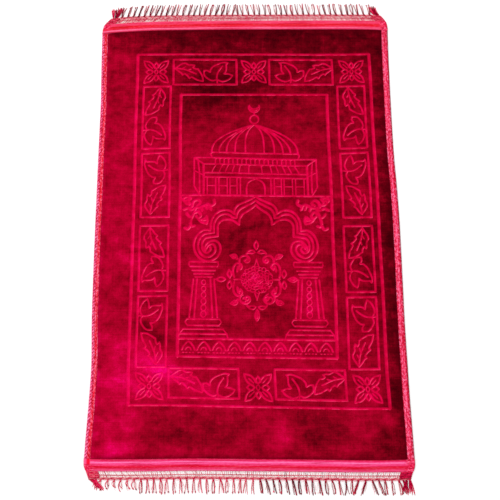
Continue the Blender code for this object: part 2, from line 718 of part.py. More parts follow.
def build_binding(side):
    """Tape folded over a long edge: ribbed upper leg, outer fold and lower leg."""
    width = BINDING_WIDTHS[side]
    inner = width - GAP
    section = (
        (inner, 0.0),
        (FOLD_ROUND, 0.0),
        (0.0, FOLD_ROUND),
        (0.0, TRIM_TOP - FOLD_ROUND),
        *((share * width, TRIM_TOP - drop) for share, drop in BINDING_RIBS),
        (inner, TRIM_TOP - GAP),
        (inner, TRIM_LOW),
        (BINDING_WALL, TRIM_LOW),
        (BINDING_WALL, LEG),
        (inner, LEG),
    )
    inward = 1.0 if side == "left" else -1.0
    rings = []
    for k, y in enumerate(side_stations(side)):
        ring = []
        for inset, z in section:
            x = side_edge(side, y) + inward * inset
            if k == 0:
                along = pile_end("near", x) + GAP
            elif k == SIDE_STEPS:
                along = pile_end("far", x) - GAP
            else:
                along = y
            ring.append((x, along, z))
        rings.append(ring)
    return new_object("binding_" + side, loft(rings), (0.80, 0.06, 0.13), 0.6)


def build_heading(end):
    """Band folded over an end of the cloth, running on as a net strip with a dense block at each end."""
    outer = BAND_WIDTH + NET_WIDTH
    slot = BAND_WIDTH - BAND_WALL
    ribs = [(beyond, TRIM_TOP - drop) for beyond, drop in BAND_RIBS]
    shares = end_shares(end)
    rings = []
    for k, share in enumerate(shares):
        dense = k < 3 or k >= len(shares) - 3
        net = BLOCK_THICK if dense else NET_THICK
        section = [(GAP, 0.0), (outer, 0.0), (outer, net), (BAND_WIDTH + NET_STEP, net), *ribs]
        section += [(GAP, TRIM_LOW), (slot, TRIM_LOW), (slot, LEG), (GAP, LEG)]
        ring = []
        for beyond, z in section:
            x, y = end_point(end, share, beyond)
            ring.append((x, y, z))
        rings.append(ring)
    return new_object("heading_" + end, loft(rings), (0.86, 0.05, 0.16), 0.55)


def strand(bm, root, middle, tip, width, tip_width):
    """Four-sided lock from a root face through its middle to its tip, lying on the floor."""
    way = np.array(tip) - np.array(middle)
    way = way / np.linalg.norm(way)
    mean_width, mean_height = (width + tip_width) / 2, (KNOT_THICK + TIP_THICK) / 2
    for centre, across, height in ((middle, mean_width, mean_height), (tip, tip_width, TIP_THICK)):
        side = np.array((way[1], -way[0])) * math.copysign(across / 2, way[1])
        ring = []
        for hand, z in ((-1.0, 0.0), (1.0, 0.0), (1.0, height), (-1.0, height)):
            ring.append(bm.verts.new((centre[0] + hand * side[0], centre[1] + hand * side[1], z)))
        for k in range(4):
            n = (k + 1) % 4
            bm.faces.new((root[k], root[n], ring[n], ring[k]))
        root = ring
    bm.faces.new(root)


def fringe_legs(end):
    """Legs of a fringe from left to right, with the strip's length: place on it, width, tip offset, bend."""
    inner = BAND_WIDTH + NET_WIDTH + GAP
    length = end_point(end, 1.0, inner)[0] - end_point(end, 0.0, inner)[0]
    legs = []
    for row_end, side, inset, lean, reach, width in TUFT_ROWS:
        if row_end == end:
            place = inset if side == "left" else length - inset
            legs.append((place, width, (lean * reach, reach), 0.25 * lean * reach))
    pitch = (length - 2 * TUFT_ZONE) / TASSELS
    for k in range(TASSELS):
        middle = TUFT_ZONE + (k + 0.5) * pitch + 0.0010 * scatter(k, 1)
        lean = LEG_SWING * scatter(k, 2 if end == "near" else 3)
        for hand in (-1.0, 1.0):
            index = 2 * k + (hand > 0)
            reach = LEG_LENGTH * (0.93 + 0.07 * scatter(index, 4 if end == "near" else 5))
            splay = hand * LEG_SPLAY * (1.0 + 0.7 * scatter(index, 6)) + lean
            bend = 0.5 * LEG_SPLAY * scatter(index, 7)
            legs.append((middle + hand * LEG_SPREAD, LEG_ROOT, (splay, reach), bend))
    return sorted(legs), length


def build_fringe(end):
    """Knot row along the net with its legs standing apart, all resting on the floor."""
    inner = BAND_WIDTH + NET_WIDTH + GAP
    outer = inner + KNOT_WIDTH
    legs, length = fringe_legs(end)
    way = outward(end)
    bm = bmesh.new()

    def post(place, beyond):
        x, y = end_point(end, place / length, beyond)
        return [bm.verts.new((x, y, 0.0)), bm.verts.new((x, y, KNOT_THICK))]

    inside = [post(0.0, inner)]
    outside = [post(0.0, outer)]
    for n, (place, width, (run, reach), bend) in enumerate(legs):
        start, stop = post(place - width / 2, outer), post(place + width / 2, outer)
        outside += [start, stop]
        root = [start[0], stop[0], stop[1], start[1]]
        x, y = end_point(end, place / length, outer)
        middle = (x + 0.5 * run + bend, y + way * 0.5 * reach)
        strand(bm, root, middle, (x + run, y + way * reach), width, LEG_TIP * width / LEG_ROOT)
        if n % 2:
            seam = length
            if n + 1 < len(legs):
                seam = (place + width / 2 + legs[n + 1][0] - legs[n + 1][1] / 2) / 2
            inside.append(post(seam, inner))
            outside.append(post(seam, outer))
    for low, high in zip(inside, inside[1:]):
        bm.faces.new((low[0], high[0], high[1], low[1]))
    for k, (low, high) in enumerate(zip(outside, outside[1:])):
        if k % 5 not in (1, 3):
            bm.faces.new((low[0], high[0], high[1], low[1]))
    for k in range(len(inside) - 1):
        edge = outside[5 * k:5 * k + 6]
        for level in (0, 1):
            bm.faces.new([spot[level] for spot in edge] + [inside[k + 1][level], inside[k][level]])
    for first, second in ((inside[0], outside[0]), (inside[-1], outside[-1])):
        bm.faces.new((first[0], second[0], second[1], first[1]))
    return new_object("fringe_" + end, sealed_mesh(bm), (0.62, 0.03, 0.09), 0.7)


def centre_on_floor(items):
    """Shift every mesh so that the rug's box is centred on the origin."""
    corners = np.array([vertex.co for item in items for vertex in item.data.vertices])
    middle = (corners.min(axis=0) + corners.max(axis=0)) / 2
    for item in items:
        for vertex in item.data.vertices:
            vertex.co.x -= middle[0]
            vertex.co.y -= middle[1]


def main():
    for item in list(bpy.data.objects):
        bpy.data.objects.remove(item)
    items = [build_panel()]
    items += [build_binding(side) for side in ("left", "right")]
    items += [build_heading(end) for end in ("near", "far")]
    items += [build_fringe(end) for end in ("near", "far")]
    centre_on_floor(items)


main()
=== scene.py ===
import math

import bpy
import numpy as np
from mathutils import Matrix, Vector
from mathutils.geometry import delaunay_2d_cdt


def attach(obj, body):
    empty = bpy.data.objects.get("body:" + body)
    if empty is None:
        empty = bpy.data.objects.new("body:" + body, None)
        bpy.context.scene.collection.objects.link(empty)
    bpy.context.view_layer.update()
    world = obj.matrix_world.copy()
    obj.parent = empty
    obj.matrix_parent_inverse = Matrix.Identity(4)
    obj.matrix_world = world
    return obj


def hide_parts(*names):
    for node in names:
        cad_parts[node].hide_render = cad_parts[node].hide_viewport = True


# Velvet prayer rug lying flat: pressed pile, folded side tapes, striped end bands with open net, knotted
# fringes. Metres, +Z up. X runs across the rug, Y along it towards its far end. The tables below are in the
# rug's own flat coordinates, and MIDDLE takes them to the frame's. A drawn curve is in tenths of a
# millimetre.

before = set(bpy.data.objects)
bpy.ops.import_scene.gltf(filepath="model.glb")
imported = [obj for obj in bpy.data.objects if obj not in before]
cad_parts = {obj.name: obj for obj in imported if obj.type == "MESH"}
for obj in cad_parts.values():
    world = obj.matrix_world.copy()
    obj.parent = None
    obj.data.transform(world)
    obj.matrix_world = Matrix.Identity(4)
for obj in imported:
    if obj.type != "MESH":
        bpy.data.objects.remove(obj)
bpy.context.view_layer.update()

MIDDLE = np.array((-0.00201, -0.00033, 0.0))


def tenths(rows):
    """Metres, from rows in tenths of a millimetre."""
    return np.array(rows) / 10000.0


# ---- sizes of the cloth and its trims
GAP = 0.0003
CLOTH_LOW, CLOTH_TOP = 0.0013, 0.0029
PILE_TOP = 0.006
PILE_ROUND = 0.0012
LEG = 0.001
TRIM_LOW = CLOTH_TOP + GAP
TRIM_TOP = 0.0045
BINDING_WIDTHS = {"left": 0.0165, "right": 0.0185}
BINDING_WALL = 0.0015
BAND_WIDTH, BAND_WALL = 0.0295, 0.006
NET_WIDTH = 0.0145
BLOCK_WIDTH = 0.029
KNOT_WIDTH = 0.005
FOLD_ROOM = 0.0012
FOLD_ROUND = 0.0012
HALF_WIDTH = 0.4
CORNER_TUCK = 0.0075

TASSELS = 46
LEG_LENGTH = 0.0338
LEG_SWING, LEG_SPREAD = 0.0022, 0.0021
TUFT_ZONE = 0.0225

PATTERN_X, PATTERN_Y = 0.022, 0.022

# long edges of the rug: distance along it, left edge, right edge
EDGE_ROWS = tenths((
    (-6000, -4030, 4012), (-5200, -4003, 3998), (-4400, -3968, 3978), (-3500, -3942, 3969),
    (-2300, -3981, 3960), (-1100, -3997, 3971), (800, -4005, 3970), (2100, -4006, 3930),
    (3500, -4005, 3926), (4900, -4036, 3938), (6000, -4053, 3962),
))
# pile's two end lines: distance across the rug, near line, far line
END_ROWS = tenths((
    (-4020, -5625, 5600), (-3500, -5640, 5650), (-2700, -5645, 5688), (-1300, -5638, 5703),
    (100, -5660, 5700), (1500, -5682, 5692), (2900, -5705, 5680), (3500, -5705, 5668),
    (4020, -5700, 5640),
))
# how far the trims draw in at a corner: distance past the pile's end line, near left, near right, far left,
# far right
CORNER_ROWS = tenths((
    (0, 0, 0, 0, 0), (180, 12, 15, 25, 12), (300, 60, 60, 65, 50), (440, 115, 110, 200, 150),
    (520, 130, 110, 260, 210),
))
CORNER_COLUMN = {("near", "left"): 1, ("near", "right"): 2, ("far", "left"): 3, ("far", "right"): 4}
# thick corner tufts of the fringes: end, side, distance from the strip's end, lean across per length,
# length, width, tone
TUFT_ROWS = (
    ("near", "left", 0.003, 0.95, 0.027, 0.005, 0.78),
    ("near", "left", 0.01, 0.6, 0.024, 0.0046, 0.72),
    ("near", "left", 0.018, 0.3, 0.02, 0.0036, 0.62),
    ("near", "right", 0.003, 0.1, 0.0345, 0.0046, 0.84),
    ("near", "right", 0.011, -0.12, 0.033, 0.0044, 0.9),
    ("near", "right", 0.019, 0.18, 0.031, 0.0036, 0.86),
    ("far", "left", 0.006, -0.06, 0.031, 0.0026, 0.74),
    ("far", "left", 0.0125, 0.16, 0.033, 0.0044, 0.95),
    ("far", "left", 0.0165, 0.3, 0.032, 0.0016, 0.86),
    ("far", "right", 0.004, -0.52, 0.025, 0.0036, 0.86),
    ("far", "right", 0.01, -0.3, 0.031, 0.0044, 0.88),
    ("far", "right", 0.016, -0.42, 0.029, 0.0018, 0.74),
)
# crease left by folding the rug in half: distance across, distance along, depth
CREASE_ROWS = tenths((
    (-3780, -120, 4), (-3000, -280, 8), (-2000, -520, 10), (-600, -460, 6), (800, -300, 6),
    (2200, -200, 8), (3700, -140, 5),
))
CREASE_HALF = 0.018

# patches of painted sheen where the nap lies another way, and painted fold shadows: across, along, half
# width and half length in millimetres, turn in degrees, lift of its tone in hundredths
NAP_SHEEN_AND_SHADOW_ROWS = (
    (0, 560, 450, 70, 0, -22), (-350, 500, 50, 60, 0, 8), (-120, 350, 70, 60, 20, -14),
    (375, 0, 32, 600, 0, -20), (360, -250, 30, 40, 0, -12), (355, -410, 35, 35, 0, -20),
    (340, -515, 20, 20, 0, -12), (300, -20, 80, 40, 10, -14), (260, 45, 30, 20, 0, -10),
    (300, -120, 60, 70, 0, -10), (-20, -40, 100, 50, 0, -12), (70, -230, 50, 40, 0, -10),
    (-340, 80, 50, 300, 0, 3), (-200, -360, 160, 25, -27, 30), (-300, -380, 100, 50, 0, 22),
    (-190, -290, 130, 16, -27, -12), (-160, -240, 100, 30, -30, -8), (-335, -548, 45, 20, 15, 32),
    (-315, -480, 40, 40, 60, 22), (355, -530, 60, 50, 0, -12), (345, -500, 12, 40, 0, 16),
    (-150, -500, 140, 40, 0, -12), (80, -510, 35, 30, 20, 26), (170, -500, 70, 50, 0, -14),
    (270, -490, 60, 50, 0, 12), (310, -400, 30, 30, 0, 13), (-300, -70, 40, 30, 0, 12),
    (-150, 70, 60, 50, 0, 12), (-118, -180, 32, 60, 0, 13), (158, -180, 32, 60, 0, 20),
    (20, -131, 40, 32, 0, 13), (20, -308, 200, 22, 0, 14), (-60, 395, 130, 55, 0, -22),
    (70, 150, 90, 50, 0, 4), (-118, -35, 34, 40, 0, 8), (148, -35, 34, 40, 0, 10),
    # the last two rows are painted shadows of folds in the cloth, narrow and dark
    (20, 10, 60, 35, 0, -10), (-240, -268, 52, 12, -47, -18), (-262, -56, 85, 8, -6, -16),
)

# ---- sizes of the pressed pattern
WIDE, BOLD, FINE, THIN = 0.0062, 0.0046, 0.0036, 0.0027   # half widths of its lines, soft edges and all
SCALE = 0.0021
DEPTHS = {WIDE: 0.0019, BOLD: 0.0018, FINE: 0.0016, THIN: 0.0013, SCALE: 0.001}
PILE_STEP = 0.0076      # spacing of the pile's points away from the lines
BACK_STEP = 0.03
GRID_LOW, GRID_HIGH = -0.57, 0.575
LINE_STEP, LONG_STEP = 0.005, 0.03
LINE_ROOM = 0.0016
CURVE_STEP = 0.0021
WELD = 0.00025
RIM_STEP = 0.004
LIT_SIDE = (0.6, -0.8)  # way from a line's middle to the flank that gets a painted highlight; the other flank gets painted shade

FRAME_HALF = 0.3212
FRAME_TOP, FRAME_LOW = 0.4724, -0.467
FIELD_HALF = 0.1998
FIELD_TOP, FIELD_LOW = 0.3533, -0.3481
DIVIDER, PLINTH = 0.0688, -0.3039
BOX_IN, BOX_OUT = 0.2287, 0.3029
SIDE_BOXES = tenths(((3777, 1998), (1864, 104), (-125, -1836), (-1969, -3738)))
END_BOXES = tenths(((3830, 4565), (-4484, -3765)))
END_BOX_IN, END_BOX_OUT, END_BOX_SHIFT = 0.0452, 0.2195, -0.0024
FLOWER_X, FLOWER_Y = 0.27, 0.421
TOOTHED_LEAN = -116.6
# leaves of the left borders: kind, stem's place in tenths of a millimetre, turn in degrees, flip across the
# rug, flip along it
LEAF_ROWS = (
    ("toothed", -2580, 3740, 0, 1, 1), ("ivy", -3010, 2520, 0, 1, 1), ("ivy", -2350, 1380, 0, -1, -1),
    ("toothed", -2780, 180, 0, -1, -1), ("toothed", -2770, -180, 0, -1, 1),
    ("ivy", -2350, -1310, 0, -1, 1), ("ivy", -3010, -2460, 0, 1, -1),
    ("toothed", -2530, -3680, 0, 1, -1), ("toothed", -2180, 4310, 90, 1, 1),
    ("ivy", -1010, 3880, 90, 1, 1), ("toothed", -2160, -3960, 90, 1, 1),
    ("ivy", -1000, -4490, 90, 1, 1),
)
DOME_LOW, DOME_HIGH = 0.1853, 0.267
# ribs of the dome: foot's distance from the middle, squareness of its curve
RIB_ROWS = ((0.025, 4.3), (0.0527, 3.2), (0.0758, 2.5), (0.0962, 2.15), (0.1155, 2.45))
BALL_Y, BALL_RADIUS = 0.282, 0.0118
MOON_Y, MOON_RADIUS = 0.3165, 0.0145
HALL_TOP, HALL_EAVES = 0.171, 0.1535
HALL_HALF, FRONT_HALF = 0.163, 0.138
STOREY_HIGH, STOREY_LOW, TRANSOM = 0.1294, 0.1178, 0.0945
DOOR_HALF, DOOR_TOP = 0.024, 0.115
ARCADE_PITCH, ARCADE_RISE = 0.0118, 0.0045
LOWER_POSTS = (0.0165, 0.04, 0.056, 0.073, 0.088, 0.106)
WINDOW_POSTS = (0.0405, 0.0495, 0.068, 0.0755, 0.0975, 0.106, 0.1285)
LOBE_Y, ARCH_SHIFT = -0.015, -0.0012
# the arch's three lines, outer to inner: lobe's middle, lobe's half width, lobe's height, crown's tip,
# crown's half width, crown's foot, height of the corner where the lobe meets the volute
ARCH_ROWS = tenths((
    (800, 376, 445, 665, 562, 205, -250), (800, 288, 335, 560, 500, 80, -310),
    (735, 252, 195, 440, 430, -95, -405),
))
VOLUTE_X, VOLUTE_Y, VOLUTE_WIDE, VOLUTE_TALL, EYE_DROP = 0.1257, -0.0645, 0.0359, 0.0415, 0.013
# how far each volute line is from the middle, by its turns from the top round and in
VOLUTE_ROWS = (
    (0.0, 1.0, 0.75, 0.49),
    (0.25, 0.97, 0.66, 0.37),
    (0.5, 1.0, 0.76, 0.47),
    (0.75, 0.95, 0.57, 0.16),
    (1.0, 0.42, 0.2, 0.05),
    (1.25, 0.15, 0.05, 0.0),
)
VOLUTE_TURNS = (1.25, 1.08, 0.72)
COLUMN_X, COLUMN_SHIFT = 0.1348, -0.0015
# capital and base lines: height, half length
CAPITAL_ROWS = tenths(((-1080, 370), (-1203, 350), (-1306, 300), (-1393, 255), (-1472, 220)))
BASE_ROWS = tenths(((-2548, 412), (-2706, 390), (-2799, 505), (-2918, 600)))
# shaft lines: half distance at the top, half distance at the foot
SHAFT_ROWS = tenths(((266, 355), (172, 231)))
SHAFT_TOP, SHAFT_FOOT = -0.153, -0.25
BEADS, BEAD_HALF = 6, 0.0062
MEDALLION_Y = -0.153
# rings of petals in the medallion: how many, distance from its middle, petal's radius
PETAL_ROWS = (
    (5, 0.003, 0.0035), (8, 0.0085, 0.0042), (13, 0.015, 0.0044),
    (18, 0.0218, 0.0046), (24, 0.0288, 0.0046),
)
# the medallion's buds: turn in degrees, distance from its middle, length, half width
BUD_ROWS = (
    (90, 0.077, 0.024, 0.0046), (270, 0.077, 0.029, 0.005),
    (0, 0.08, 0.024, 0.0056), (180, 0.08, 0.024, 0.0052),
)
SCALLOPS, SCALLOP_RADIUS = 10, 0.0165


# ---- small helpers
def scatter(index, channel):
    """A fixed, even scatter of values from -1 to 1."""
    value = math.sin(index * 12.9898 + channel * 78.233) * 43758.5453
    return 2.0 * (value - math.floor(value)) - 1.0


def ease(low, high, at):
    """Soft step from 0 at low to 1 at high."""
    part = np.clip((at - low) / (high - low), 0.0, 1.0)
    return part * part * (3.0 - 2.0 * part)


def from_rows(rows, at, column):
    """Smooth curve through one column of a table of rows."""
    keys = np.array([row[0] for row in rows])
    values = np.array([row[column] for row in rows])
    slopes = np.gradient(values, keys)
    at = np.clip(at, keys[0], keys[-1])
    k = np.clip(np.searchsorted(keys, at, side="right") - 1, 0, len(keys) - 2)
    run = keys[k + 1] - keys[k]
    part = (at - keys[k]) / run
    h2, h3 = part ** 2, part ** 3
    ends = (2 * h3 - 3 * h2 + 1) * values[k] + (3 * h2 - 2 * h3) * values[k + 1]
    return ends + run * ((h3 - 2 * h2 + part) * slopes[k] + (h3 - h2) * slopes[k + 1])


def side_edge(side, y):
    """X of the rug's outer long edge."""
    return from_rows(EDGE_ROWS, y, 1 if side == "left" else 2)


def inward(side):
    """Sign of X on the way in from a long edge."""
    return 1.0 if side == "left" else -1.0


def outward(end):
    """Sign of Y on the way out over an end."""
    return -1.0 if end == "near" else 1.0


def pile_side(side, y):
    """X of the pile's long edge."""
    return side_edge(side, y) + inward(side) * BINDING_WIDTHS[side]


def pile_end(end, x):
    """Y of the pile's end line."""
    return from_rows(END_ROWS, x, 1 if end == "near" else 2)


def end_sides(end, beyond):
    """X of an end trim's left and right edges at a distance past the pile's end line."""
    left = side_edge("left", pile_end(end, -HALF_WIDTH))
    right = side_edge("right", pile_end(end, HALF_WIDTH))
    left = left + from_rows(CORNER_ROWS, beyond, CORNER_COLUMN[end, "left"])
    return left, right - from_rows(CORNER_ROWS, beyond, CORNER_COLUMN[end, "right"])


def end_point(end, share, beyond):
    """Place on an end trim, by share of its length from the left and distance past the pile's end line."""
    left, right = end_sides(end, beyond)
    x = left + (right - left) * share
    return x, pile_end(end, x) + outward(end) * beyond


def along_end(end, share, beyond, height):
    """Points on an end trim at their heights."""
    x, y = end_point(end, share, beyond)
    return np.stack((x, y, np.broadcast_to(height, x.shape)), -1)


def end_length(end, beyond):
    """Length of an end trim from side to side, at a distance past the pile's end line."""
    left, right = end_sides(end, beyond)
    return float(right - left)


class Form:
    """Points, faces and point values gathered for one piece."""

    def __init__(self):
        self.points, self.faces, self.values = [], [], {}
        self.count = 0

    def add(self, points, face_groups, **values):
        points = np.asarray(points, float).reshape(-1, 3)
        for faces in face_groups:
            self.faces += (np.asarray(faces) + self.count).tolist()
        for name, value in values.items():
            filled = np.broadcast_to(np.asarray(value, float).reshape(-1), (len(points),))
            self.values.setdefault(name, []).append(filled)
        self.points.append(points)
        self.count += len(points)

    def rings(self, rows, caps=True, flip=False, **values):
        """Closed rings of points joined by quads, with a flat face at either end where asked."""
        index = np.arange(rows[..., 0].size).reshape(rows.shape[:2])
        beside = np.roll(index, -1, axis=1)
        quads = np.stack((index[:-1], beside[:-1], beside[1:], index[1:]), -1).reshape(-1, 4)
        groups = [quads] + [index[:1, ::-1], index[-1:]] * caps
        spread = {name: np.broadcast_to(value, index.shape) for name, value in values.items()}
        self.add(rows, [faces[:, ::-1] if flip else faces for faces in groups], **spread)

    def tube(self, path, radius, tone, sides=4):
        """Thread along a path that nowhere stands upright."""
        way = np.gradient(path, axis=0)
        way /= np.linalg.norm(way, axis=1)[:, None]
        side = np.cross(way, (0.0, 0.0, 1.0))
        side /= np.linalg.norm(side, axis=1)[:, None]
        angles = 2 * math.pi * (np.arange(sides)[:, None] + 0.5) / sides
        ring = np.cos(angles) * side[:, None] + np.sin(angles) * np.cross(side, way)[:, None]
        self.rings(path[:, None] + np.reshape(radius, (-1, 1, 1)) * ring, tone=np.reshape(tone, (-1, 1)))

    def piece(self, name, material, slot, *nodes):
        """The gathered mesh as a piece that stands for the nodes."""
        mesh = bpy.data.meshes.new(name)
        mesh.from_pydata((np.vstack(self.points) - MIDDLE).tolist(), [], self.faces)
        for key, parts in self.values.items():
            mesh.attributes.new(key, "FLOAT", "POINT").data.foreach_set("value", np.concatenate(parts))
        mesh.shade_smooth()
        mesh.materials.append(material)
        item = bpy.data.objects.new(name, mesh)
        bpy.context.scene.collection.objects.link(item)
        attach(item, "root")
        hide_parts(*nodes)
        return item


# ---- curves, in the pattern's own frame
def bend(points, step=CURVE_STEP):
    """Rounded curve through the points, closed where they close."""
    points = np.array(points, float)
    closed = np.allclose(points[0], points[-1])
    before = points[-2] if closed else 2 * points[0] - points[1]
    after = points[1] if closed else 2 * points[-1] - points[-2]
    ring = np.vstack((before, points, after))
    spans = []
    for k in range(1, len(ring) - 2):
        a, b, c, d = ring[k - 1:k + 3]
        steps = max(2, math.ceil(np.linalg.norm(c - b) / step))
        t = np.linspace(0.0, 1.0, steps, endpoint=False)[:, None]
        spans.append(0.5 * (2 * b + (c - a) * t + (2 * a - 5 * b + 4 * c - d) * t ** 2
                            + (3 * b - a - 3 * c + d) * t ** 3))
    return np.vstack(spans + [points[-1:]])


def drawn(*spans):
    """Rounded spans in tenths of a millimetre, each from where the one before it stopped."""
    curves, start = [], []
    for span in spans:
        curves.append(bend(tenths(start + span)))
        start = span[-1:]
    return np.vstack([curve[:-1] for curve in curves[:-1]] + curves[-1:])


def filled_in(points, step):
    """The same line with points at most a step apart."""
    parts = []
    for a, b in zip(points, points[1:]):
        run = np.linalg.norm(b - a)
        if run > 0.0001:
            shares = np.linspace(0.0, 1.0, max(1, math.ceil(run / step - 0.25)), endpoint=False)
            parts.append(a + (b - a) * shares[:, None])
    return np.vstack(parts + [points[-1:]])


def arc(cx, cy, radius, start, stop, tall=1.0):
    steps = max(4, math.ceil(math.radians(abs(stop - start)) * radius / CURVE_STEP))
    angles = np.radians(np.linspace(start, stop, steps + 1))
    return np.stack((cx + radius * np.cos(angles), cy + tall * radius * np.sin(angles)), -1)


def line(*points):
    return np.array(points, float)


def rectangle(x0, y0, x1, y1):
    return line((x0, y0), (x1, y0), (x1, y1), (x0, y1), (x0, y0))


def placed(points, x, y, turn=0.0, flip=(1.0, 1.0)):
    """Ornament flipped, turned and moved into its place."""
    c, s = math.cos(math.radians(turn)), math.sin(math.radians(turn))
    return (points * flip) @ np.array(((c, s), (-s, c))) + (x, y)


def both_sides(strokes):
    """Strokes of the left half with their mirror images."""
    return strokes + [(points * (-1.0, 1.0), half) for points, half in strokes]


def drop(reach, half):
    """Pointed petal or leaf along +X."""
    upper = bend([(0.0, 0.0), (0.3 * reach, 0.85 * half), (0.62 * reach, half), (reach, 0.0)])
    return np.vstack((upper, upper[-2::-1] * (1.0, -1.0)))


def curl(radius, turns, start=0.0):
    """Spiral that winds in, counter-clockwise, to its eye."""
    steps = max(8, math.ceil(3.5 * turns * radius / CURVE_STEP))
    t = np.linspace(0.0, 1.0, steps + 1)
    angles = math.radians(start) + 2 * math.pi * turns * t
    reach = radius * (1.0 - 0.78 * t)
    return np.stack((reach * np.cos(angles), reach * np.sin(angles)), -1)


# ---- ornaments, as lines with half widths
def frame_strokes():
    """Outer and inner frames, the lines across the niche, and the boxes of the borders."""
    strokes = []
    for half, low, top in ((FRAME_HALF, FRAME_LOW, FRAME_TOP), (FIELD_HALF, FIELD_LOW, FIELD_TOP)):
        strokes += both_sides([(line((-half, low), (-half, top)), WIDE)])
        strokes += [(line((-half, y), (half, y)), BOLD) for y in (low, top)]
    strokes += [(line((-FIELD_HALF, y), (FIELD_HALF, y)), BOLD) for y in (DIVIDER, PLINTH)]
    strokes += both_sides([(rectangle(-BOX_OUT, low, -BOX_IN, top), BOLD) for top, low in SIDE_BOXES])
    ends = both_sides([(rectangle(-END_BOX_OUT, low, -END_BOX_IN, top), BOLD) for low, top in END_BOXES])
    return strokes + [(points + (END_BOX_SHIFT, 0.0), half) for points, half in ends]


def flower_strokes():
    """Four long veined petals set crosswise, a short one between each pair, and an oval in the middle."""
    strokes = []
    petal = drawn(
        [(120, 50), (220, 85), (340, 75), (470, 0)],
        [(340, -75), (220, -85), (120, -50)],
    )
    for turn in (44, 136, 224, 316):
        strokes.append((placed(petal, 0, 0, turn), FINE))
        strokes.append((placed(tenths([(150, 0), (310, 0)]), 0, 0, turn), THIN))
    for turn, reach, half in ((0, 0.019, 0.0062), (90, 0.018, 0.005)):
        for way in (0, 180):
            strokes.append((placed(drop(reach, half) + (0.009, 0.0), 0, 0, turn + way), FINE))
    strokes.append((arc(0, 0, 0.0042, 0, 360, 1.4), THIN))
    places = [(x, y) for x in (-FLOWER_X, 0.0, FLOWER_X) for y in (-FLOWER_Y, FLOWER_Y)]
    return [(points + place, half) for place in places for points, half in strokes]


def toothed_leaf():
    """Leaf with a nearly straight toothed edge and a bulging one, drawn from its stem along +X."""
    outline = drawn(
        [(0, 0), (120, -35), (220, -50), (280, -85)],
        [(310, -30), (410, -45), (500, -90)],
        [(530, -30), (700, -35), (870, 0)],
        [(800, 110), (700, 190), (580, 260)],
        [(500, 235), (430, 240)],
        [(450, 315)],
        [(370, 295), (300, 260), (190, 260)],
        [(120, 210), (60, 110), (0, 0)],
    )
    strokes = [(outline, FINE), (drawn([(30, 20), (150, 60), (300, 95), (600, 110)]), FINE)]
    for ends in (((170, 68), (240, 165)), ((320, 98), (410, 175))):
        strokes.append((tenths(ends), THIN))
    return [(placed(points, 0.0, 0.0, TOOTHED_LEAN), half) for points, half in strokes]


def ivy_leaf():
    """Leaf of three pointed lobes, drawn from its stem along +X."""
    outline = drawn(
        [(100, 20), (65, 110), (90, 210), (180, 330), (260, 365), (355, 365)],
        [(360, 280), (310, 190)],
        [(400, 180), (500, 90), (570, -60), (605, -180), (590, -300)],
        [(550, -255), (420, -250), (330, -230), (270, -180)],
        [(260, -300), (215, -420)],
        [(125, -350), (60, -240), (40, -120), (100, 20)],
    )
    vein = drawn([(0, 0), (200, 10), (350, -40), (500, -150)])
    return [(outline, FINE), (vein, FINE)]


def leaf_strokes():
    """The borders' leaves: copies of the two kinds, turned and flipped by the table's rows."""
    kinds = {"toothed": toothed_leaf(), "ivy": ivy_leaf()}
    strokes = []
    for kind, x, y, turn, flip_x, flip_y in LEAF_ROWS:
        for points, half in kinds[kind]:
            strokes.append((placed(points, *tenths((x, y)), turn, (flip_x, flip_y)), half))
    return both_sides(strokes)


def arcade(low, high, posts, lean=0.0):
    """Row of small round-headed arches, its posts at distances either side and leaning out at the foot."""
    strokes = []
    spring = high - ARCADE_RISE
    for near, far in zip(posts, posts[1:]):
        radius = (far - near) / 2
        strokes.append((arc(-near - radius, spring, radius, 20, 160, ARCADE_RISE / radius), THIN))
    if posts[0] > 0.0:
        strokes.append((arc(0.0, spring, posts[0], 90, 160, ARCADE_RISE / posts[0]), THIN))
    for x in posts:
        middle = (-x * (1 + 0.6 * lean), 0.5 * (low + spring))
        strokes.append((bend([(-x * (1 + lean), low), middle, (-x, spring)]), THIN))
    return both_sides(strokes)


def dome_strokes():
    """Ribbed dome on a rounded drum, with a ring and a crescent on its tip."""
    rise = np.linspace(0.0, 1.0, 25) ** 0.8
    ribs = [np.stack((-foot * (1.0 - rise ** power), DOME_LOW + rise * (DOME_HIGH - DOME_LOW)), -1)
            for foot, power in RIB_ROWS]
    end = RIB_ROWS[-1][0]
    shoulder = ((-end, DOME_LOW + 0.001), (-end - 0.0035, DOME_LOW - 0.004))
    rim = line((0.0, DOME_LOW), *shoulder, (-end, HALL_TOP + 0.002))
    return both_sides([(points, FINE) for points in ribs + [rim]]) + [
        (arc(0, BALL_Y, BALL_RADIUS, -90, 270), FINE),
        (line((0, BALL_Y + BALL_RADIUS), (0, MOON_Y - MOON_RADIUS)), THIN),
        (arc(0, MOON_Y, MOON_RADIUS, 158, 382), FINE),
        (arc(0, MOON_Y + 0.006, 0.92 * MOON_RADIUS, 185, 355, 0.8), FINE),
        (arc(0, MOON_Y + 0.002, 0.8 * MOON_RADIUS, 215, 325), BOLD),
    ]


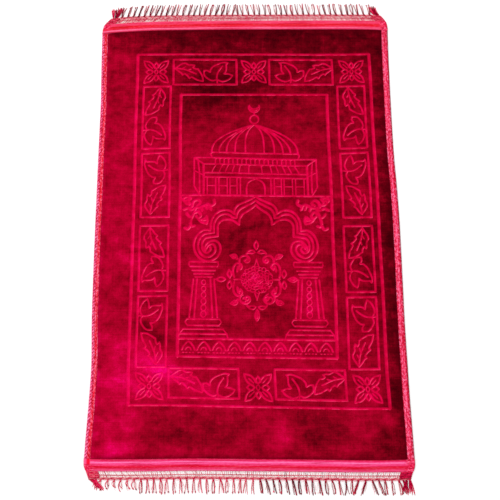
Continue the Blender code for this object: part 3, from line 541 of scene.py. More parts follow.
def hall_strokes():
    """Two-storeyed hall below the dome: arcades, windows, slanting end bays and a pointed door."""
    half_strokes = [
        (line((-HALL_HALF, HALL_TOP), (0, HALL_TOP)), FINE),
        (line((-HALL_HALF, HALL_TOP), (-FRONT_HALF, HALL_EAVES)), FINE),
        (line((-FRONT_HALF, HALL_EAVES), (-FRONT_HALF, DIVIDER)), BOLD),
        (line((-HALL_HALF, HALL_TOP), (-HALL_HALF, 0.094), (-0.158, 0.084), (-0.147, DIVIDER)), FINE),
        (tenths([(-1520, 1600), (-1490, 1300), (-1490, 780)]), FINE),
        (line((-HALL_HALF, 0.135), (-FRONT_HALF, 0.122)), THIN),
        (bend([(-DOOR_HALF, DIVIDER), (-DOOR_HALF, 0.092), (-0.0175, 0.106), (0.0, DOOR_TOP)]), FINE),
    ]
    half_strokes += [(line((-FRONT_HALF, y), (0, y)), FINE) for y in (HALL_EAVES, STOREY_HIGH, STOREY_LOW)]
    half_strokes += [(line((-x, STOREY_LOW), (-x, DIVIDER)), THIN) for x in WINDOW_POSTS]
    for first, last in zip(WINDOW_POSTS[1::2], WINDOW_POSTS[2::2]):
        half_strokes.append((line((-first, TRANSOM), (-last, TRANSOM)), THIN))
    upper = arcade(HALL_EAVES, HALL_TOP - 0.001, [ARCADE_PITCH * k for k in range(10)])
    return both_sides(half_strokes) + upper + arcade(STOREY_HIGH, HALL_EAVES, LOWER_POSTS, 0.1)


def volute(k):
    """One line of a volute, from its top round and into its eye."""
    turn = np.linspace(0.0, VOLUTE_TURNS[k], 40)
    reach = from_rows(VOLUTE_ROWS, turn, k + 1)
    angle = np.radians(90 - 360 * turn)
    y = VOLUTE_Y + VOLUTE_TALL * reach * np.sin(angle) - EYE_DROP * ease(0.55, 1.1, turn)
    return np.stack((VOLUTE_X + VOLUTE_WIDE * reach * np.cos(angle), y), -1)


def arch_strokes():
    """Three parallel lines of a cusped arch that turn into volutes."""
    shape = ((1.0, 0.0), (0.97, 0.25), (0.8, 0.5), (0.48, 0.68), (0.2, 0.84), (0.0, 1.0))
    strokes = []
    for k, (lobe_x, wide, tall, tip, half_width, foot, corner_y) in enumerate(ARCH_ROWS):
        crown = bend([(half_width * x, foot + (tip - foot) * y) for x, y in shape], 0.004)
        lobe = arc(lobe_x, LOBE_Y, wide, 132, 0, tall / wide)
        corner = (lobe_x + wide, corner_y)
        lobe = np.vstack((crown[:1], lobe, [corner]))
        coil = bend(np.vstack(([corner], volute(k)[1:])))
        strokes += [(stroke, BOLD) for stroke in (crown, lobe, coil)]
    return [(points + (ARCH_SHIFT, 0.0), half) for points, half in both_sides(strokes)]


def column_strokes():
    """Two columns, each with a moulded capital and base and a chain of beads down its shaft."""
    strokes = [(line((-half, y), (half, y)), FINE) for y, half in (*CAPITAL_ROWS, *BASE_ROWS)]
    sides = [(line((-top, SHAFT_TOP), (-foot, SHAFT_FOOT)), FINE) for top, foot in SHAFT_ROWS]
    (top, wide), (low, narrow) = CAPITAL_ROWS[:2]
    sides.append((line((-wide, top), (-wide - 0.001, low + 0.004), (-narrow, low)), THIN))
    (top, wide), (low, narrow) = BASE_ROWS[:2]
    sides.append((bend([(-wide, top), (-wide - 0.004, (top + low) / 2), (-narrow, low)]), THIN))
    (top, narrow), (low, wide) = BASE_ROWS[2:]
    sides.append((line((-narrow, top), (-wide, low), (-wide - 0.003, PLINTH)), THIN))
    strokes += both_sides(sides)
    drop_by = (SHAFT_TOP - SHAFT_FOOT) / BEADS
    for k in range(BEADS):
        y = SHAFT_TOP - (k + 0.5) * drop_by
        strokes.append((arc(0, y, BEAD_HALF * (0.85 + 0.05 * k), 90, 450, 1.15), THIN))
    columns = both_sides([(points - (COLUMN_X, 0.0), half) for points, half in strokes])
    return [(points + (COLUMN_SHIFT, 0.0), half) for points, half in columns]


def medallion_strokes():
    """Wreath of scrolls and leaves round a dense head of petals, with a bud at each end of its two axes."""
    quarter = [
        (drawn([(-580, 60), (-605, 180), (-590, 320), (-520, 410), (-430, 410), (-380, 340), (-410, 270),
                (-470, 300)]), BOLD),
        (drawn([(-445, 420), (-435, 530), (-360, 605), (-260, 610), (-185, 550), (-190, 470), (-260, 440),
                (-310, 490)]), BOLD),
        (drawn([(-290, 500), (-250, 530), (-220, 500)]), BOLD),
        (drawn([(-450, 350), (-490, 280), (-500, 200)]), BOLD),
        (drawn([(-500, 510), (-545, 545), (-600, 545), (-680, 620)], [(-590, 650), (-525, 635)],
               [(-495, 580), (-500, 510)]), FINE),
        (tenths([(-610, 600), (-540, 580)]), BOLD),
        (drawn([(-260, 665), (-180, 745), (-90, 755), (-35, 700)],
               [(-110, 675), (-200, 685), (-260, 665)]), FINE),
        (placed(drop(0.021, 0.0048), -0.069, 0.004, 96), FINE),
        (drawn([(-62, 330), (-30, 420), (0, 530)]), THIN),
        (drawn([(-480, 330), (-440, 300), (-430, 250)]), BOLD),
    ]
    half_strokes = [(points * (1.0, rise), half) for rise in (-1.0, 1.0) for points, half in quarter]
    strokes = both_sides(half_strokes + [(tenths([(-410, 0), (-590, 0)]), FINE)])
    for ring, (count, reach, size) in enumerate(PETAL_ROWS):
        for k in range(count):
            index = 31 * ring + k
            turn = 360 * (k + 0.5 * (ring % 2) + 0.3 * scatter(index, 61)) / count
            start = 45 * scatter(index, 62) - 95
            reach_out = reach + 0.0016 * scatter(index, 63)
            petal = arc(reach_out, 0, size * (1 + 0.2 * scatter(index, 64)), start, start + 175)
            strokes.append((placed(petal, 0, 0, turn) * (1.22, 1.0), SCALE))
    for turn, start, reach, half in BUD_ROWS:
        strokes.append((placed(drop(reach, half) + (start, 0.0), 0, 0, turn), FINE))
    strokes += [(tenths([(860, 0), (960, 0)]), BOLD), (tenths([(0, -830), (0, -980)]), BOLD)]
    for x, size in ((-0.0335, 0.011), (0.0315, 0.014)):
        strokes.append((placed(curl(size, 1.25, 100), x, -0.0505), THIN))
    return [(points + (0.0, MEDALLION_Y), half) for points, half in strokes]


def spandrel_strokes():
    """Leafy scroll in each upper corner of the niche."""
    curves = [
        drawn([(-1580, 360), (-1630, 220), (-1700, 40), (-1720, -120), (-1780, -220), (-1870, -190)]),
        drawn([(-1720, -60), (-1680, -140), (-1600, -130)]),
        drawn([(-1740, 440), (-1820, 460), (-1930, 580)], [(-1840, 640), (-1720, 600)],
              [(-1780, 520), (-1740, 440)]),
        drawn([(-1680, 380), (-1640, 520), (-1530, 560), (-1470, 490), (-1540, 420)]),
        drawn([(-1600, 360), (-1460, 370), (-1300, 440), (-1180, 410), (-1090, 470), (-1110, 570)]),
        drawn([(-1900, 300), (-1790, 340), (-1680, 300), (-1600, 360)]),
        drawn([(-1640, 200), (-1520, 240), (-1450, 150), (-1510, 80), (-1570, 130)]),
        drawn([(-1820, 200), (-1760, 120), (-1700, 100)]),
        drawn([(-1500, 30), (-1400, 40), (-1300, 120)], [(-1280, 0), (-1300, -70)],
              [(-1410, -40), (-1500, 30)]),
    ]
    lines = (
        ((-1320, 420), (-1290, 310)), ((-1220, 400), (-1180, 300)), ((-1430, 360), (-1410, 270)),
        ((-1840, 550), (-1780, 570)), ((-1380, 20), (-1320, 30)),
    )
    return both_sides([(points, WIDE) for points in curves + [tenths(ends) for ends in lines]])


def scallop_strokes():
    """Row of double arches over a dotted line, between the plinth line and the field's lower line."""
    pitch = (2 * FIELD_HALF - 0.016) / SCALLOPS
    foot = FIELD_LOW + 0.016
    shape = np.array([(-1.0, 0.0), (-0.7, 0.65), (0.0, 1.25), (0.7, 0.65), (1.0, 0.0)])
    strokes = []
    for k in range(SCALLOPS // 2):
        x = -(k + 0.5) * pitch
        strokes.append((bend(shape * SCALLOP_RADIUS + (x, foot)), FINE))
        strokes.append((arc(x, foot, 0.42 * SCALLOP_RADIUS, 0, 180), THIN))
        for dot in (-0.32, -0.11, 0.11, 0.32):
            middle = x + dot * pitch
            strokes.append((line((middle - 0.0018, foot - 0.006), (middle + 0.0018, foot - 0.006)), THIN))
    return both_sides(strokes)


def lay(points):
    """Pattern points to their places on the rug, with the rug's slight skew."""
    u, v = points[:, 0], points[:, 1]
    x = PATTERN_X - 0.0009 + u - 0.0072 * v - 0.0074 * u * v + 0.0007 * np.sin(19.0 * v)
    x -= 0.0024 * ease(0.1, 0.3, -v) * (1.0 - ease(0.36, 0.46, -v))
    y = PATTERN_Y + v - 0.015 * u + 0.0164 * u * v + 0.0008 * np.sin(17.0 * u)
    y += 0.007 * u * (1.0 - (v / 0.48) ** 4) - 0.0027 * np.sin(11.6 * u) * np.exp(-((v - 0.16) / 0.09) ** 2)
    y -= 0.0013 * np.sin(12.6 * u)
    return np.stack((x, y), -1)


def pattern():
    """Every pressed line, as points on the rug and its half width."""
    parts = (
        frame_strokes, flower_strokes, leaf_strokes, dome_strokes, hall_strokes,
        arch_strokes, column_strokes, medallion_strokes, spandrel_strokes, scallop_strokes,
    )
    strokes = [stroke for part in parts for stroke in part()]
    return [(filled_in(lay(filled_in(points, LONG_STEP)), LINE_STEP), half) for points, half in strokes]


# ---- pile panel
def line_sides(points, away):
    """The two lines that run beside a line at a distance."""
    closed = np.allclose(points[0], points[-1])
    way = np.diff(points, axis=0)
    way /= np.linalg.norm(way, axis=1)[:, None]
    before = np.vstack((way[-1:] if closed else way[:1], way))
    after = np.vstack((way, way[:1] if closed else way[-1:]))
    mean = before + after
    size = np.linalg.norm(mean, axis=1)[:, None]
    mean = np.where(size < 0.3, after, mean / np.maximum(size, 0.3))
    reach = away / np.maximum(0.6, np.sum(mean * after, axis=1))[:, None]
    side = np.stack((-mean[:, 1], mean[:, 0]), -1) * reach
    if closed:
        return [points + side, points - side]
    start, stop = points[:1] - way[:1] * away, points[-1:] + way[-1:] * away
    return [np.vstack((start, points + side, stop)), np.vstack((start, points - side, stop))]


def press(at, strokes, margin=0.0):
    """Pressed lines at many points: depth, how far into a line (1 on its middle), and painted light by
    flank (1 painted highlight, -1 painted shade).
    """
    order = np.argsort(at[:, 1])
    spots = at[order]
    depth, into, flank = np.zeros(len(at)), np.zeros(len(at)), np.zeros(len(at))
    for points, half in strokes:
        wide = half + margin
        for a, b in zip(points, points[1:]):
            low, high = np.minimum(a, b) - wide, np.maximum(a, b) + wide
            first, last = np.searchsorted(spots[:, 1], (low[1], high[1]))
            near = first + np.where((spots[first:last, 0] > low[0]) & (spots[first:last, 0] < high[0]))[0]
            along = b - a
            share = np.clip((spots[near] - a) @ along / (along @ along), 0.0, 1.0)
            apart = spots[near] - a - share[:, None] * along
            away = np.linalg.norm(apart, axis=1)
            reach = np.clip(1.0 - away / wide, 0.0, 1.0)
            # painted light by flank: highlight on the flank towards LIT_SIDE, painted shade on the other
            lit = 4.0 * reach * (1.0 - reach) * (apart @ LIT_SIDE) / np.maximum(away, 1e-6)
            flank[near] = np.where(reach > into[near], lit, flank[near])
            into[near] = np.maximum(into[near], reach)
            depth[near] = np.maximum(depth[near], DEPTHS[half] * ease(0.0, 1.0, reach))
    back = np.empty(len(at), int)
    back[order] = np.arange(len(at))
    return depth[back], into[back], flank[back]


def crease(at):
    """Depth of the fold's soft trough."""
    middle = from_rows(CREASE_ROWS, at[:, 0], 1)
    share = 1.0 - ease(0.0, CREASE_HALF, np.abs(at[:, 1] - middle))
    return from_rows(CREASE_ROWS, at[:, 0], 2) * share


def nap(at):
    """Tone of the pile, 0 dark to 1 bright: a painted sheen from how its nap lies, with painted fold
    shadows.
    """
    x, y = at[:, 0], at[:, 1]
    tone = 0.45 - 0.16 * x - 0.12 * ease(0.15, 0.5, y)
    tone += 0.14 * (1.0 - ease(0.0, 0.01, x - pile_side("left", y)))
    for *place, turn, lift in NAP_SHEEN_AND_SHADOW_ROWS:
        px, py, wide, tall = np.array(place) / 1000.0
        c, s = math.cos(math.radians(turn)), math.sin(math.radians(turn))
        along, off = c * (x - px) + s * (y - py), c * (y - py) - s * (x - px)
        tone += lift / 100.0 * np.exp(-(along / wide) ** 2 - (off / tall) ** 2)
    return np.clip(tone, 0.0, 1.0)


def from_rim(at):
    """Distance in from the pile's nearest edge."""
    x, y = at[:, 0], at[:, 1]
    sides = np.minimum(x - pile_side("left", y), pile_side("right", y) - x)
    ends = np.minimum(y - pile_end("near", x), pile_end("far", x) - y)
    return np.minimum(sides, ends)


def panel_outline():
    """Pile field walked round once, with each point's way out across and along the rug."""
    walk = (("near", "left"), ("near", "right"), ("far", "right"), ("far", "left"), ("near", "left"))
    corners = []
    for end, side in walk:
        x = pile_side(side, pile_end(end, -inward(side) * HALF_WIDTH))
        corners.append((float(x), float(pile_end(end, x))))
    rows = []
    for (end, side), (next_end, _), a, b in zip(walk, walk[1:], corners, corners[1:]):
        rows.append((*a, -inward(side), outward(end), 1.0))
        count = math.ceil(math.dist(a, b) / RIM_STEP)
        for share in np.arange(1, count) / count:
            x, y = a[0] + (b[0] - a[0]) * share, a[1] + (b[1] - a[1]) * share
            if end == next_end:
                rows.append((x, pile_end(end, x), 0.0, outward(end), 0.0))
            else:
                rows.append((pile_side(side, y), y, -inward(side), 0.0, 0.0))
    return np.array(rows)


def inner_grid(step, strokes):
    """Staggered points over the pile, clear of its rim and of the pressed lines."""
    rows = []
    for k, y in enumerate(np.arange(GRID_LOW, GRID_HIGH, step * 0.866)):
        xs = np.arange(-HALF_WIDTH, HALF_WIDTH, step) + 0.5 * step * (k % 2)
        rows.append(np.stack((xs, np.full_like(xs, y)), -1))
    at = np.vstack(rows)
    at = at[from_rim(at) > 0.6 * step]
    if strokes:
        _, into, _ = press(at, strokes, LINE_ROOM)
        at = at[into <= 0.0]
    return at


def triangles(outline, lines, spots):
    """Triangles inside an outline, with the lines as edges."""
    points = [Vector(p) for p in outline.tolist()]
    edges = []
    for stroke in lines:
        first = len(points)
        points += [Vector(p) for p in stroke.tolist()]
        edges += [(first + k, first + k + 1) for k in range(len(stroke) - 1)]
    points += [Vector(p) for p in spots.tolist()]
    inside = [list(range(len(outline)))]
    found, _, faces, _, _, _ = delaunay_2d_cdt(points, edges, inside, 1, WELD)
    return np.array([(p.x, p.y) for p in found]), np.array(faces)


def make_pile(material):
    """Velvet pile with its pressed lines and rounded rim, and the bare cloth under the trims."""
    strokes = pattern()
    outline = panel_outline()
    field, across, along, corner = outline[:, :2], outline[:, 2:3], outline[:, 3:4], outline[:, 4:5]
    out = np.hstack((across, along))
    rim = field - out * PILE_ROUND
    width = np.where(across < 0.0, BINDING_WIDTHS["left"], BINDING_WIDTHS["right"])
    cloth_side = width - BINDING_WALL - GAP - CORNER_TUCK * corner
    margin = field + np.hstack((across * cloth_side, along * (BAND_WIDTH - BAND_WALL - FOLD_ROOM)))

    lines = [points for points, _ in strokes]
    for points, half in strokes:
        for away in (0.5 * half, half):
            lines += line_sides(points, away)
    at, faces = triangles(rim, lines, inner_grid(PILE_STEP, strokes))
    used, renumbered = np.unique(faces, return_inverse=True)
    at, faces = at[used], renumbered.reshape(-1, 3)
    depth, into, flank = press(at, strokes)
    swell = 0.00012 * (np.sin(61 * at[:, 0] + 23 * at[:, 1]) + np.sin(47 * at[:, 1] - 31 * at[:, 0]))
    height = PILE_TOP - depth - crease(at) + swell * ease(0.0, 0.02, from_rim(at))
    # painted shade along the pile's rim: strong within 12 mm of its edge, faded out beside the left tape
    painted_rim_shade = 1.0 - ease(0.0, 0.012, from_rim(at))
    form = Form()
    form.add(
        np.column_stack((at, height)),
        [faces],
        nap=nap(at),
        pressed=into,
        flank=flank,
        rim=painted_rim_shade * ease(-0.01, 0.02, at[:, 0] - pile_side("left", at[:, 1])),
        back=0.0,
    )

    levels = [(field, 0.0), (field, CLOTH_LOW), (margin, CLOTH_LOW), (margin, CLOTH_TOP)]
    levels.append((field, CLOTH_TOP))
    for turn in (0.0, 30.0, 60.0, 90.0):
        a = math.radians(turn)
        rounded = field - out * PILE_ROUND * (1 - math.cos(a))
        levels.append((rounded, PILE_TOP - PILE_ROUND * (1 - math.sin(a))))
    rings = np.array([np.column_stack((loop, np.full(len(loop), z))) for loop, z in levels])
    plain = {"pressed": 0.0, "flank": 0.0}
    # rim 1.0: the pile's rounded edge gets the full painted rim shade
    form.rings(rings, caps=False, nap=nap(field), rim=1.0, back=[[1.0]] * 5 + [[0.0]] * 4, **plain)
    low, low_faces = triangles(field, [], inner_grid(BACK_STEP, []))
    low = np.column_stack((low, np.zeros(len(low))))
    form.add(low, [low_faces[:, ::-1]], nap=0.4, rim=0.0, back=1.0, **plain)
    return form.piece("pile_velvet", material, "pile", "pile_panel")


# ---- side bindings
# top of a binding: distance in from the rug's edge, height below the highest rib
BINDING_TOP = tenths((
    (3, 16), (8, 7), (14, 4), (20, 2), (27, 1), (35, 1), (43, 1), (50, 3), (57, 6), (62, 8), (68, 4),
    (75, 2), (82, 5), (87, 8), (96, 6), (104, 9), (112, 7), (120, 9), (126, 5), (132, 3), (139, 7),
    (146, 3), (153, 1), (160, 3), (165, 8), (170, 13),
))
BINDING_DRAWN = 0.0175      # width that the table above is drawn for
BINDING_STEP = 0.0013
PLAIT_PITCH = 0.0078
TAPE_TWILL, TAPE_ZIGZAG = 0.0058, 0.0052    # pitch of its fine zigzag ribs, along it and across it
PLAIT_ZONES = {"left": (0.0002, 0.0012, 0.0066, 0.008), "right": (0.0016, 0.0026, 0.0052, 0.0066)}


def make_binding(side, material):
    """Tape folded over a long edge, with a twisted cord along its fold and fine ribs beside it."""
    width = BINDING_WIDTHS[side]
    inner = width - GAP
    low = [(inner, 0.0), (FOLD_ROUND, 0.0), (0.0003, 0.0004), (0.0, FOLD_ROUND), (0.0, 0.0022)]
    top = [(inset * width / BINDING_DRAWN, TRIM_TOP - drop_by) for inset, drop_by in BINDING_TOP]
    slot = [(inner, TRIM_LOW), (BINDING_WALL, TRIM_LOW), (BINDING_WALL, LEG), (inner, LEG)]
    section = np.array(low + top + slot)
    inset, height = section[:, 0], section[:, 1]
    upper = np.zeros(len(section))
    upper[len(low):len(low) + len(top)] = 1.0

    y_low, y_high = [pile_end(end, inward(side) * -HALF_WIDTH) for end in ("near", "far")]
    count = math.ceil((y_high - y_low) / BINDING_STEP)
    share = np.linspace(0.0, 1.0, count + 1)[:, None]
    x = side_edge(side, y_low + (y_high - y_low) * share) + inward(side) * inset
    start, stop = pile_end("near", x) + GAP, pile_end("far", x) - GAP
    y = start + (stop - start) * share
    wave = 0.00025 * np.sin(y / 0.0125 + inset / 0.009) + 0.00015 * np.sin(y / 0.0047)
    wave = wave * upper * ease(0.0015, 0.004, inset) * (inset < inner - 0.0006)
    x = side_edge(side, y) + inward(side) * (inset + wave)

    start, full, fade, stop = PLAIT_ZONES[side]
    cord = ease(start, full, inset) * (1.0 - ease(fade, stop, inset))
    ply = np.sin(2 * math.pi * (y / PLAIT_PITCH - 0.9 * inset / PLAIT_PITCH + 0.1 * np.sin(y / 0.031)))
    zigzag = np.abs((inset / TAPE_ZIGZAG) % 1.0 - 0.5) * 2.0
    twill = np.sin(2 * math.pi * (y / TAPE_TWILL + 0.8 * zigzag))
    plain = ease(0.0062, 0.0078, inset)
    lift = upper * (cord * (0.00022 * ply - 0.00022) + 0.0001 * twill * plain)
    form = Form()
    form.rings(
        np.stack((x, y, height + lift), -1),
        flip=side == "left",
        across=inset / width,
        # spot: painted shade in the hollows between the cord's plies
        spot=upper * cord * ease(0.2, 0.75, -ply),
        fleck=upper * twill * plain,
    )
    return form.piece("tape_" + side, material, "binding", "binding_" + side)


# ---- end bands
BAND_RIBS = 12
BAND_STATIONS = 380
BAND_TWILL, BAND_SLANT = 0.0085, 0.0049     # pitch of its fine slanting ribs, along it and across it
RUN_ON = 0.013      # how far the left tape's stripes run on over the near band
CORNER_MOTTLE = 0.03


def make_band(end, material):
    """Ribbed band folded over an end of the cloth, its stripes wandering a little."""
    fine = np.linspace(BAND_WIDTH, GAP, 5 * BAND_RIBS + 1)
    rib = np.abs(np.sin(math.pi * fine / BAND_WIDTH * BAND_RIBS))
    drop_by = 0.0004 * (1.0 - rib) + 0.0018 * ease(0.0262, BAND_WIDTH, fine)
    drop_by += 0.0004 * ease(0.0012, 0.0, fine) + 0.0003 * ease(0.012, 0.017, fine)
    top = [(b, TRIM_TOP - d) for b, d in zip(fine, drop_by)]
    low = [(GAP, 0.0), (BAND_WIDTH - 0.0006, 0.0), (BAND_WIDTH + 0.0002, 0.001)]
    wall = BAND_WIDTH - BAND_WALL
    section = np.array(low + top + [(GAP, TRIM_LOW), (wall, TRIM_LOW), (wall, LEG), (GAP, LEG)])
    beyond, height = section[:, 0], section[:, 1]
    upper = np.zeros(len(section))
    upper[len(low):len(low) + len(top)] = 1.0
    share = np.linspace(0.0, 1.0, BAND_STATIONS + 1)[:, None]
    middle = ease(0.0, 0.004, beyond) * (1.0 - ease(0.024, BAND_WIDTH, beyond))
    run = 2 * HALF_WIDTH * share
    wave = 0.0005 * np.sin(run / 0.021 + 40 * beyond) + 0.0004 * np.sin(run / 0.047)
    from_side = 2 * HALF_WIDTH * np.minimum(share, 1.0 - share)
    mottle = 1.0 - ease(0.4 * CORNER_MOTTLE, CORNER_MOTTLE, from_side)
    mottle = mottle * np.where(share < 0.5, ease(0.01, 0.016, beyond), 1.0)
    run_on = (end == "near") & (share < 0.5) & (beyond < RUN_ON)
    twill = np.sin(2 * math.pi * (run / BAND_TWILL + beyond / BAND_SLANT))
    height = height + upper * (0.0001 * twill + 0.00012 * np.sin(run / 0.033 + 90 * beyond))
    form = Form()
    form.rings(
        along_end(end, share, beyond + wave * middle * upper, height),
        flip=end == "near",
        across=(beyond + 0.4 * wave * middle) / BAND_WIDTH,
        mottle=mottle,
        edge=np.where(run_on, from_side / BINDING_WIDTHS["left"], 2.0),
        fleck=upper * ease(0.3, 1.0, twill),
    )
    return form.piece("band_" + end, material, "heading", "heading_" + end)


# ---- threads
THREAD = 0.00042


def twist(form, path, plies, radius, around, pitch, phase, tone):
    """Threads twisted round a path."""
    step = np.linalg.norm(np.diff(path, axis=0), axis=1)
    run = np.concatenate(([0.0], np.cumsum(step)))
    way = np.gradient(path, axis=0)
    side = np.stack((way[:, 1], -way[:, 0]), -1) / np.linalg.norm(way[:, :2], axis=1)[:, None]
    for ply in range(plies):
        turn = phase + 2 * math.pi * (run / pitch + ply / plies)
        ply_path = path.copy()
        ply_path[:, :2] += side * (around * np.cos(turn))[:, None]
        ply_path[:, 2] = np.maximum(path[:, 2] + around * np.sin(turn), radius)
        form.tube(ply_path, radius, tone)


# make of a twined row: height, sway to the side, sway up and down, pitch, swing of its tone, beat of that
WEFT_MAKE = (0.001, 0.00028, 0.00022, 0.0064, 0.34, 0.001)
KNOT_MAKE = (0.0011, 0.0005, 0.0004, 0.0058, 0.24, 0.0013)


def twined(form, make, end, run, length, beyond, row, radius, tone):
    """Two threads that wind round each other along an end trim, in dashes of light and dark."""
    height, sway, lift, pitch, swing, beat = make
    for hand in (0.0, math.pi):
        turn = 2 * math.pi * run / pitch + row + hand
        path = along_end(end, run / length, beyond + sway * np.cos(turn), height + lift * np.sin(turn))
        form.tube(path, radius, tone + swing * np.sin(run / beat + hand))


# ---- net strips
# each end's net: pitch of its thread pairs, tone, tone added to the strong ones, thread's radius, sway,
# tone of its slanting threads
NETS = {
    "near": (0.005, 0.24, 0.4, 0.00027, 0.00045, 0.88),
    "far": (0.0022, 0.35, 0.16, 0.00036, 0.00065, 0.66),
}
NET_STEPS = 10
# wefts of the net: distance past the band, radius, tone
WEFT_ROWS = (
    (0.0026, 0.00018, 0.1), (0.008, 0.00038, 0.62), (0.0092, 0.00038, 0.56), (0.0126, 0.00018, 0.32),
)
WEFT_STEP = 0.0016
BLOCK_STRANDS = 6
BLOCK_TONES = {"near": {"left": 0.59, "right": 0.74}, "far": {"left": 0.62, "right": 0.61}}
BLOCK_LOW, BLOCK_SIDE, BLOCK_TOP = 0.0004, 0.0012, 0.0026
BLOCK_WEFT, BLOCK_WARP = 0.0046, 0.0048


def make_net(end, material):
    """Open net of crossed thread pairs held by twisted wefts."""
    form = Form()
    pitch, plain_tone, strong_tone, radius, sway_by, slant_tone = NETS[end]
    start, stop = BAND_WIDTH - 0.0012, BAND_WIDTH + NET_WIDTH + 0.0008
    length = end_length(end, stop)
    first = BLOCK_WIDTH / length
    count = round((1 - 2 * first) * length / pitch)
    t = np.linspace(0.0, 1.0, NET_STEPS)
    beyond = start + (stop - start) * t
    for k in range(count + 1):
        share = first + (1 - 2 * first) * k / count
        lean = 0.0016 * scatter(k, 11) * t
        for hand in (-1.0, 1.0):
            sway = hand * sway_by * np.cos(2.5 * math.pi * t + 0.8 * scatter(k // 3, 12))
            height = 0.0007 + 0.0012 * (1.0 - ease(0.0, 0.3, t)) + hand * 0.0002 * np.sin(2.5 * math.pi * t)
            strong = strong_tone * (1.0 + 0.6 * share) * (scatter(k, 13 + hand) > 0.5 - 0.5 * share)
            uneven = 0.16 * scatter(k, 14 + hand) + 0.1 * scatter(k // 5, 15)
            path = along_end(end, share + (sway + lean) / length, beyond, height)
            form.tube(path, radius, plain_tone + strong + uneven + 0.08 * t ** 2)
    for k in range(count // 3):
        share = first + (1 - 2 * first) * (3 * k + 1.5 + scatter(k, 16)) / count
        slope = 0.005 + 0.006 * scatter(k, 17)
        tone = (slant_tone + 0.12 * scatter(k, 18)) * (0.75 + 0.25 * t)
        form.tube(along_end(end, share + slope * t / length, beyond, 0.0015), 0.00032, tone)
    run = length * np.linspace(first, 1 - first, round(length / WEFT_STEP))
    for row, (place, weft_radius, tone) in enumerate(WEFT_ROWS):
        twined(form, WEFT_MAKE, end, run, length, BAND_WIDTH + place, row, weft_radius, tone)
    return form.piece("net_" + end, material, "heading", "heading_" + end)


def make_blocks(end, material):
    """Dense woven blocks at the ends of the net."""
    form = Form()
    length = end_length(end, BAND_WIDTH + NET_WIDTH)
    place = np.linspace(0.0, BLOCK_WIDTH, 30)[:, None] / length
    beyond = np.concatenate(([0.0, 0.0], np.linspace(0.0, NET_WIDTH, 13), [NET_WIDTH])) + BAND_WIDTH
    rise = np.array([BLOCK_LOW, BLOCK_SIDE] + [BLOCK_TOP] * 13 + [BLOCK_LOW])
    weave = np.sin(2 * math.pi * place * length / BLOCK_WEFT) * np.sin(2 * math.pi * beyond / BLOCK_WARP)
    soft = 1.0 - ease(0.8 * BLOCK_WIDTH, BLOCK_WIDTH, place * length)
    height = rise * (0.45 + 0.55 * soft) + 0.00035 * weave * (rise == BLOCK_TOP)
    run = np.linspace(0.0004, BLOCK_WIDTH, 26)
    for side in ("left", "right"):
        tone = BLOCK_TONES[end][side]
        share = place if side == "left" else 1.0 - place
        flip = (side == "left") != (end == "near")
        form.rings(along_end(end, share, beyond, height), flip=flip, tone=tone + 0.14 * weave)
        share = run / length if side == "left" else 1.0 - run / length
        for row in range(BLOCK_STRANDS):
            wave = 0.0009 * np.sin(run / 0.0032 + 2.0 * row)
            strand = BAND_WIDTH + (row + 0.5) * NET_WIDTH / BLOCK_STRANDS + wave
            path = along_end(end, share, strand, BLOCK_TOP)
            twist(form, path, 2, 0.0006, 0.0007, 0.006, row, tone + (0.16 if row % 2 else -0.08))
    return form.piece("block_" + end, material, "heading", "heading_" + end)


# ---- fringes
KNOTS_FROM = BAND_WIDTH + NET_WIDTH + GAP
KNOTS_TO = KNOTS_FROM + KNOT_WIDTH
# rows of the knot strip: distance past its inner edge, tone
KNOT_ROWS = ((-0.001, 0.42), (0.001, 0.58), (0.0028, 0.64))
KNOT_RADIUS, KNOT_STEP = 0.00054, 0.0013
# how the tassels lie along a fringe: end, share of its length where the stretch stops, lean, splay,
# thickness, length, curl, tone
FRINGE_ZONES = (
    ("near", 0.13, 0.003, 0.002, 0.44, 0.8, 0.005, 0.68),
    ("near", 0.52, 0.0006, 0.0027, 0.68, 1.0, 0.0, 0.75),
    ("near", 0.8, 0.005, 0.0017, 1.12, 1.0, 0.0, 0.98),
    ("near", 0.855, 0.001, 0.006, 0.88, 1.0, 0.0, 0.92),
    ("near", 0.885, -0.011, 0.0012, 1.0, 1.0, 0.0, 0.92),
    ("near", 0.945, 0.012, 0.0015, 0.9, 1.0, 0.0, 0.92),
    ("near", 1.01, 0.0035, 0.003, 0.9, 1.0, 0.0, 0.92),
    ("far", 0.46, 0.009, 0.002, 0.84, 1.0, 0.0, 1.04),
    ("far", 1.01, -0.005, 0.0024, 0.8, 1.0, 0.0, 1.02),
)
# channels of the scatter that set each fringe's lean, style and leg lengths
FRINGE_CHANNELS = {"near": (2, 21, 4), "far": (3, 22, 5)}
TONE_FALL = {"near": 0.05, "far": 0.16}
LEG_STEPS = 18
WISPS, WISP = 6, 0.00026
TUFT_THREADS = 12


def fringe_root(end, length, place, beyond=KNOTS_TO - 0.001):
    """Place on the knot strip, by its distance along it."""
    x, y = end_point(end, place / length, beyond)
    return float(x), float(y)


def leg_path(end, root, way, bend_by, steps, lift):
    """Path of a leg on the floor from its root at the knot row."""
    t = np.linspace(0.0, 1.0, steps)
    x = root[0] + way[0] * t + 4 * bend_by * t * (1 - t)
    y = root[1] + outward(end) * way[1] * t
    return np.stack((x, y, THREAD + lift * np.sin(math.pi * np.clip(t * 1.2, 0, 1)) + 0.0006 * (1 - t)), -1)


def tip_knot(form, spot, tone):
    """Small knot near a leg's tip: one tight loop of thread round it."""
    size = 0.0011
    t = np.linspace(0.0, 1.0, 11)
    turn = 2 * math.pi * 1.4 * t
    x, y = spot[0] + size * np.cos(turn), spot[1] + size * (0.9 * np.sin(turn) + 0.6 * t - 0.3)
    form.tube(np.stack((x, y, 0.0007 + 0.001 * np.sin(math.pi * t)), -1), 0.00065, tone)


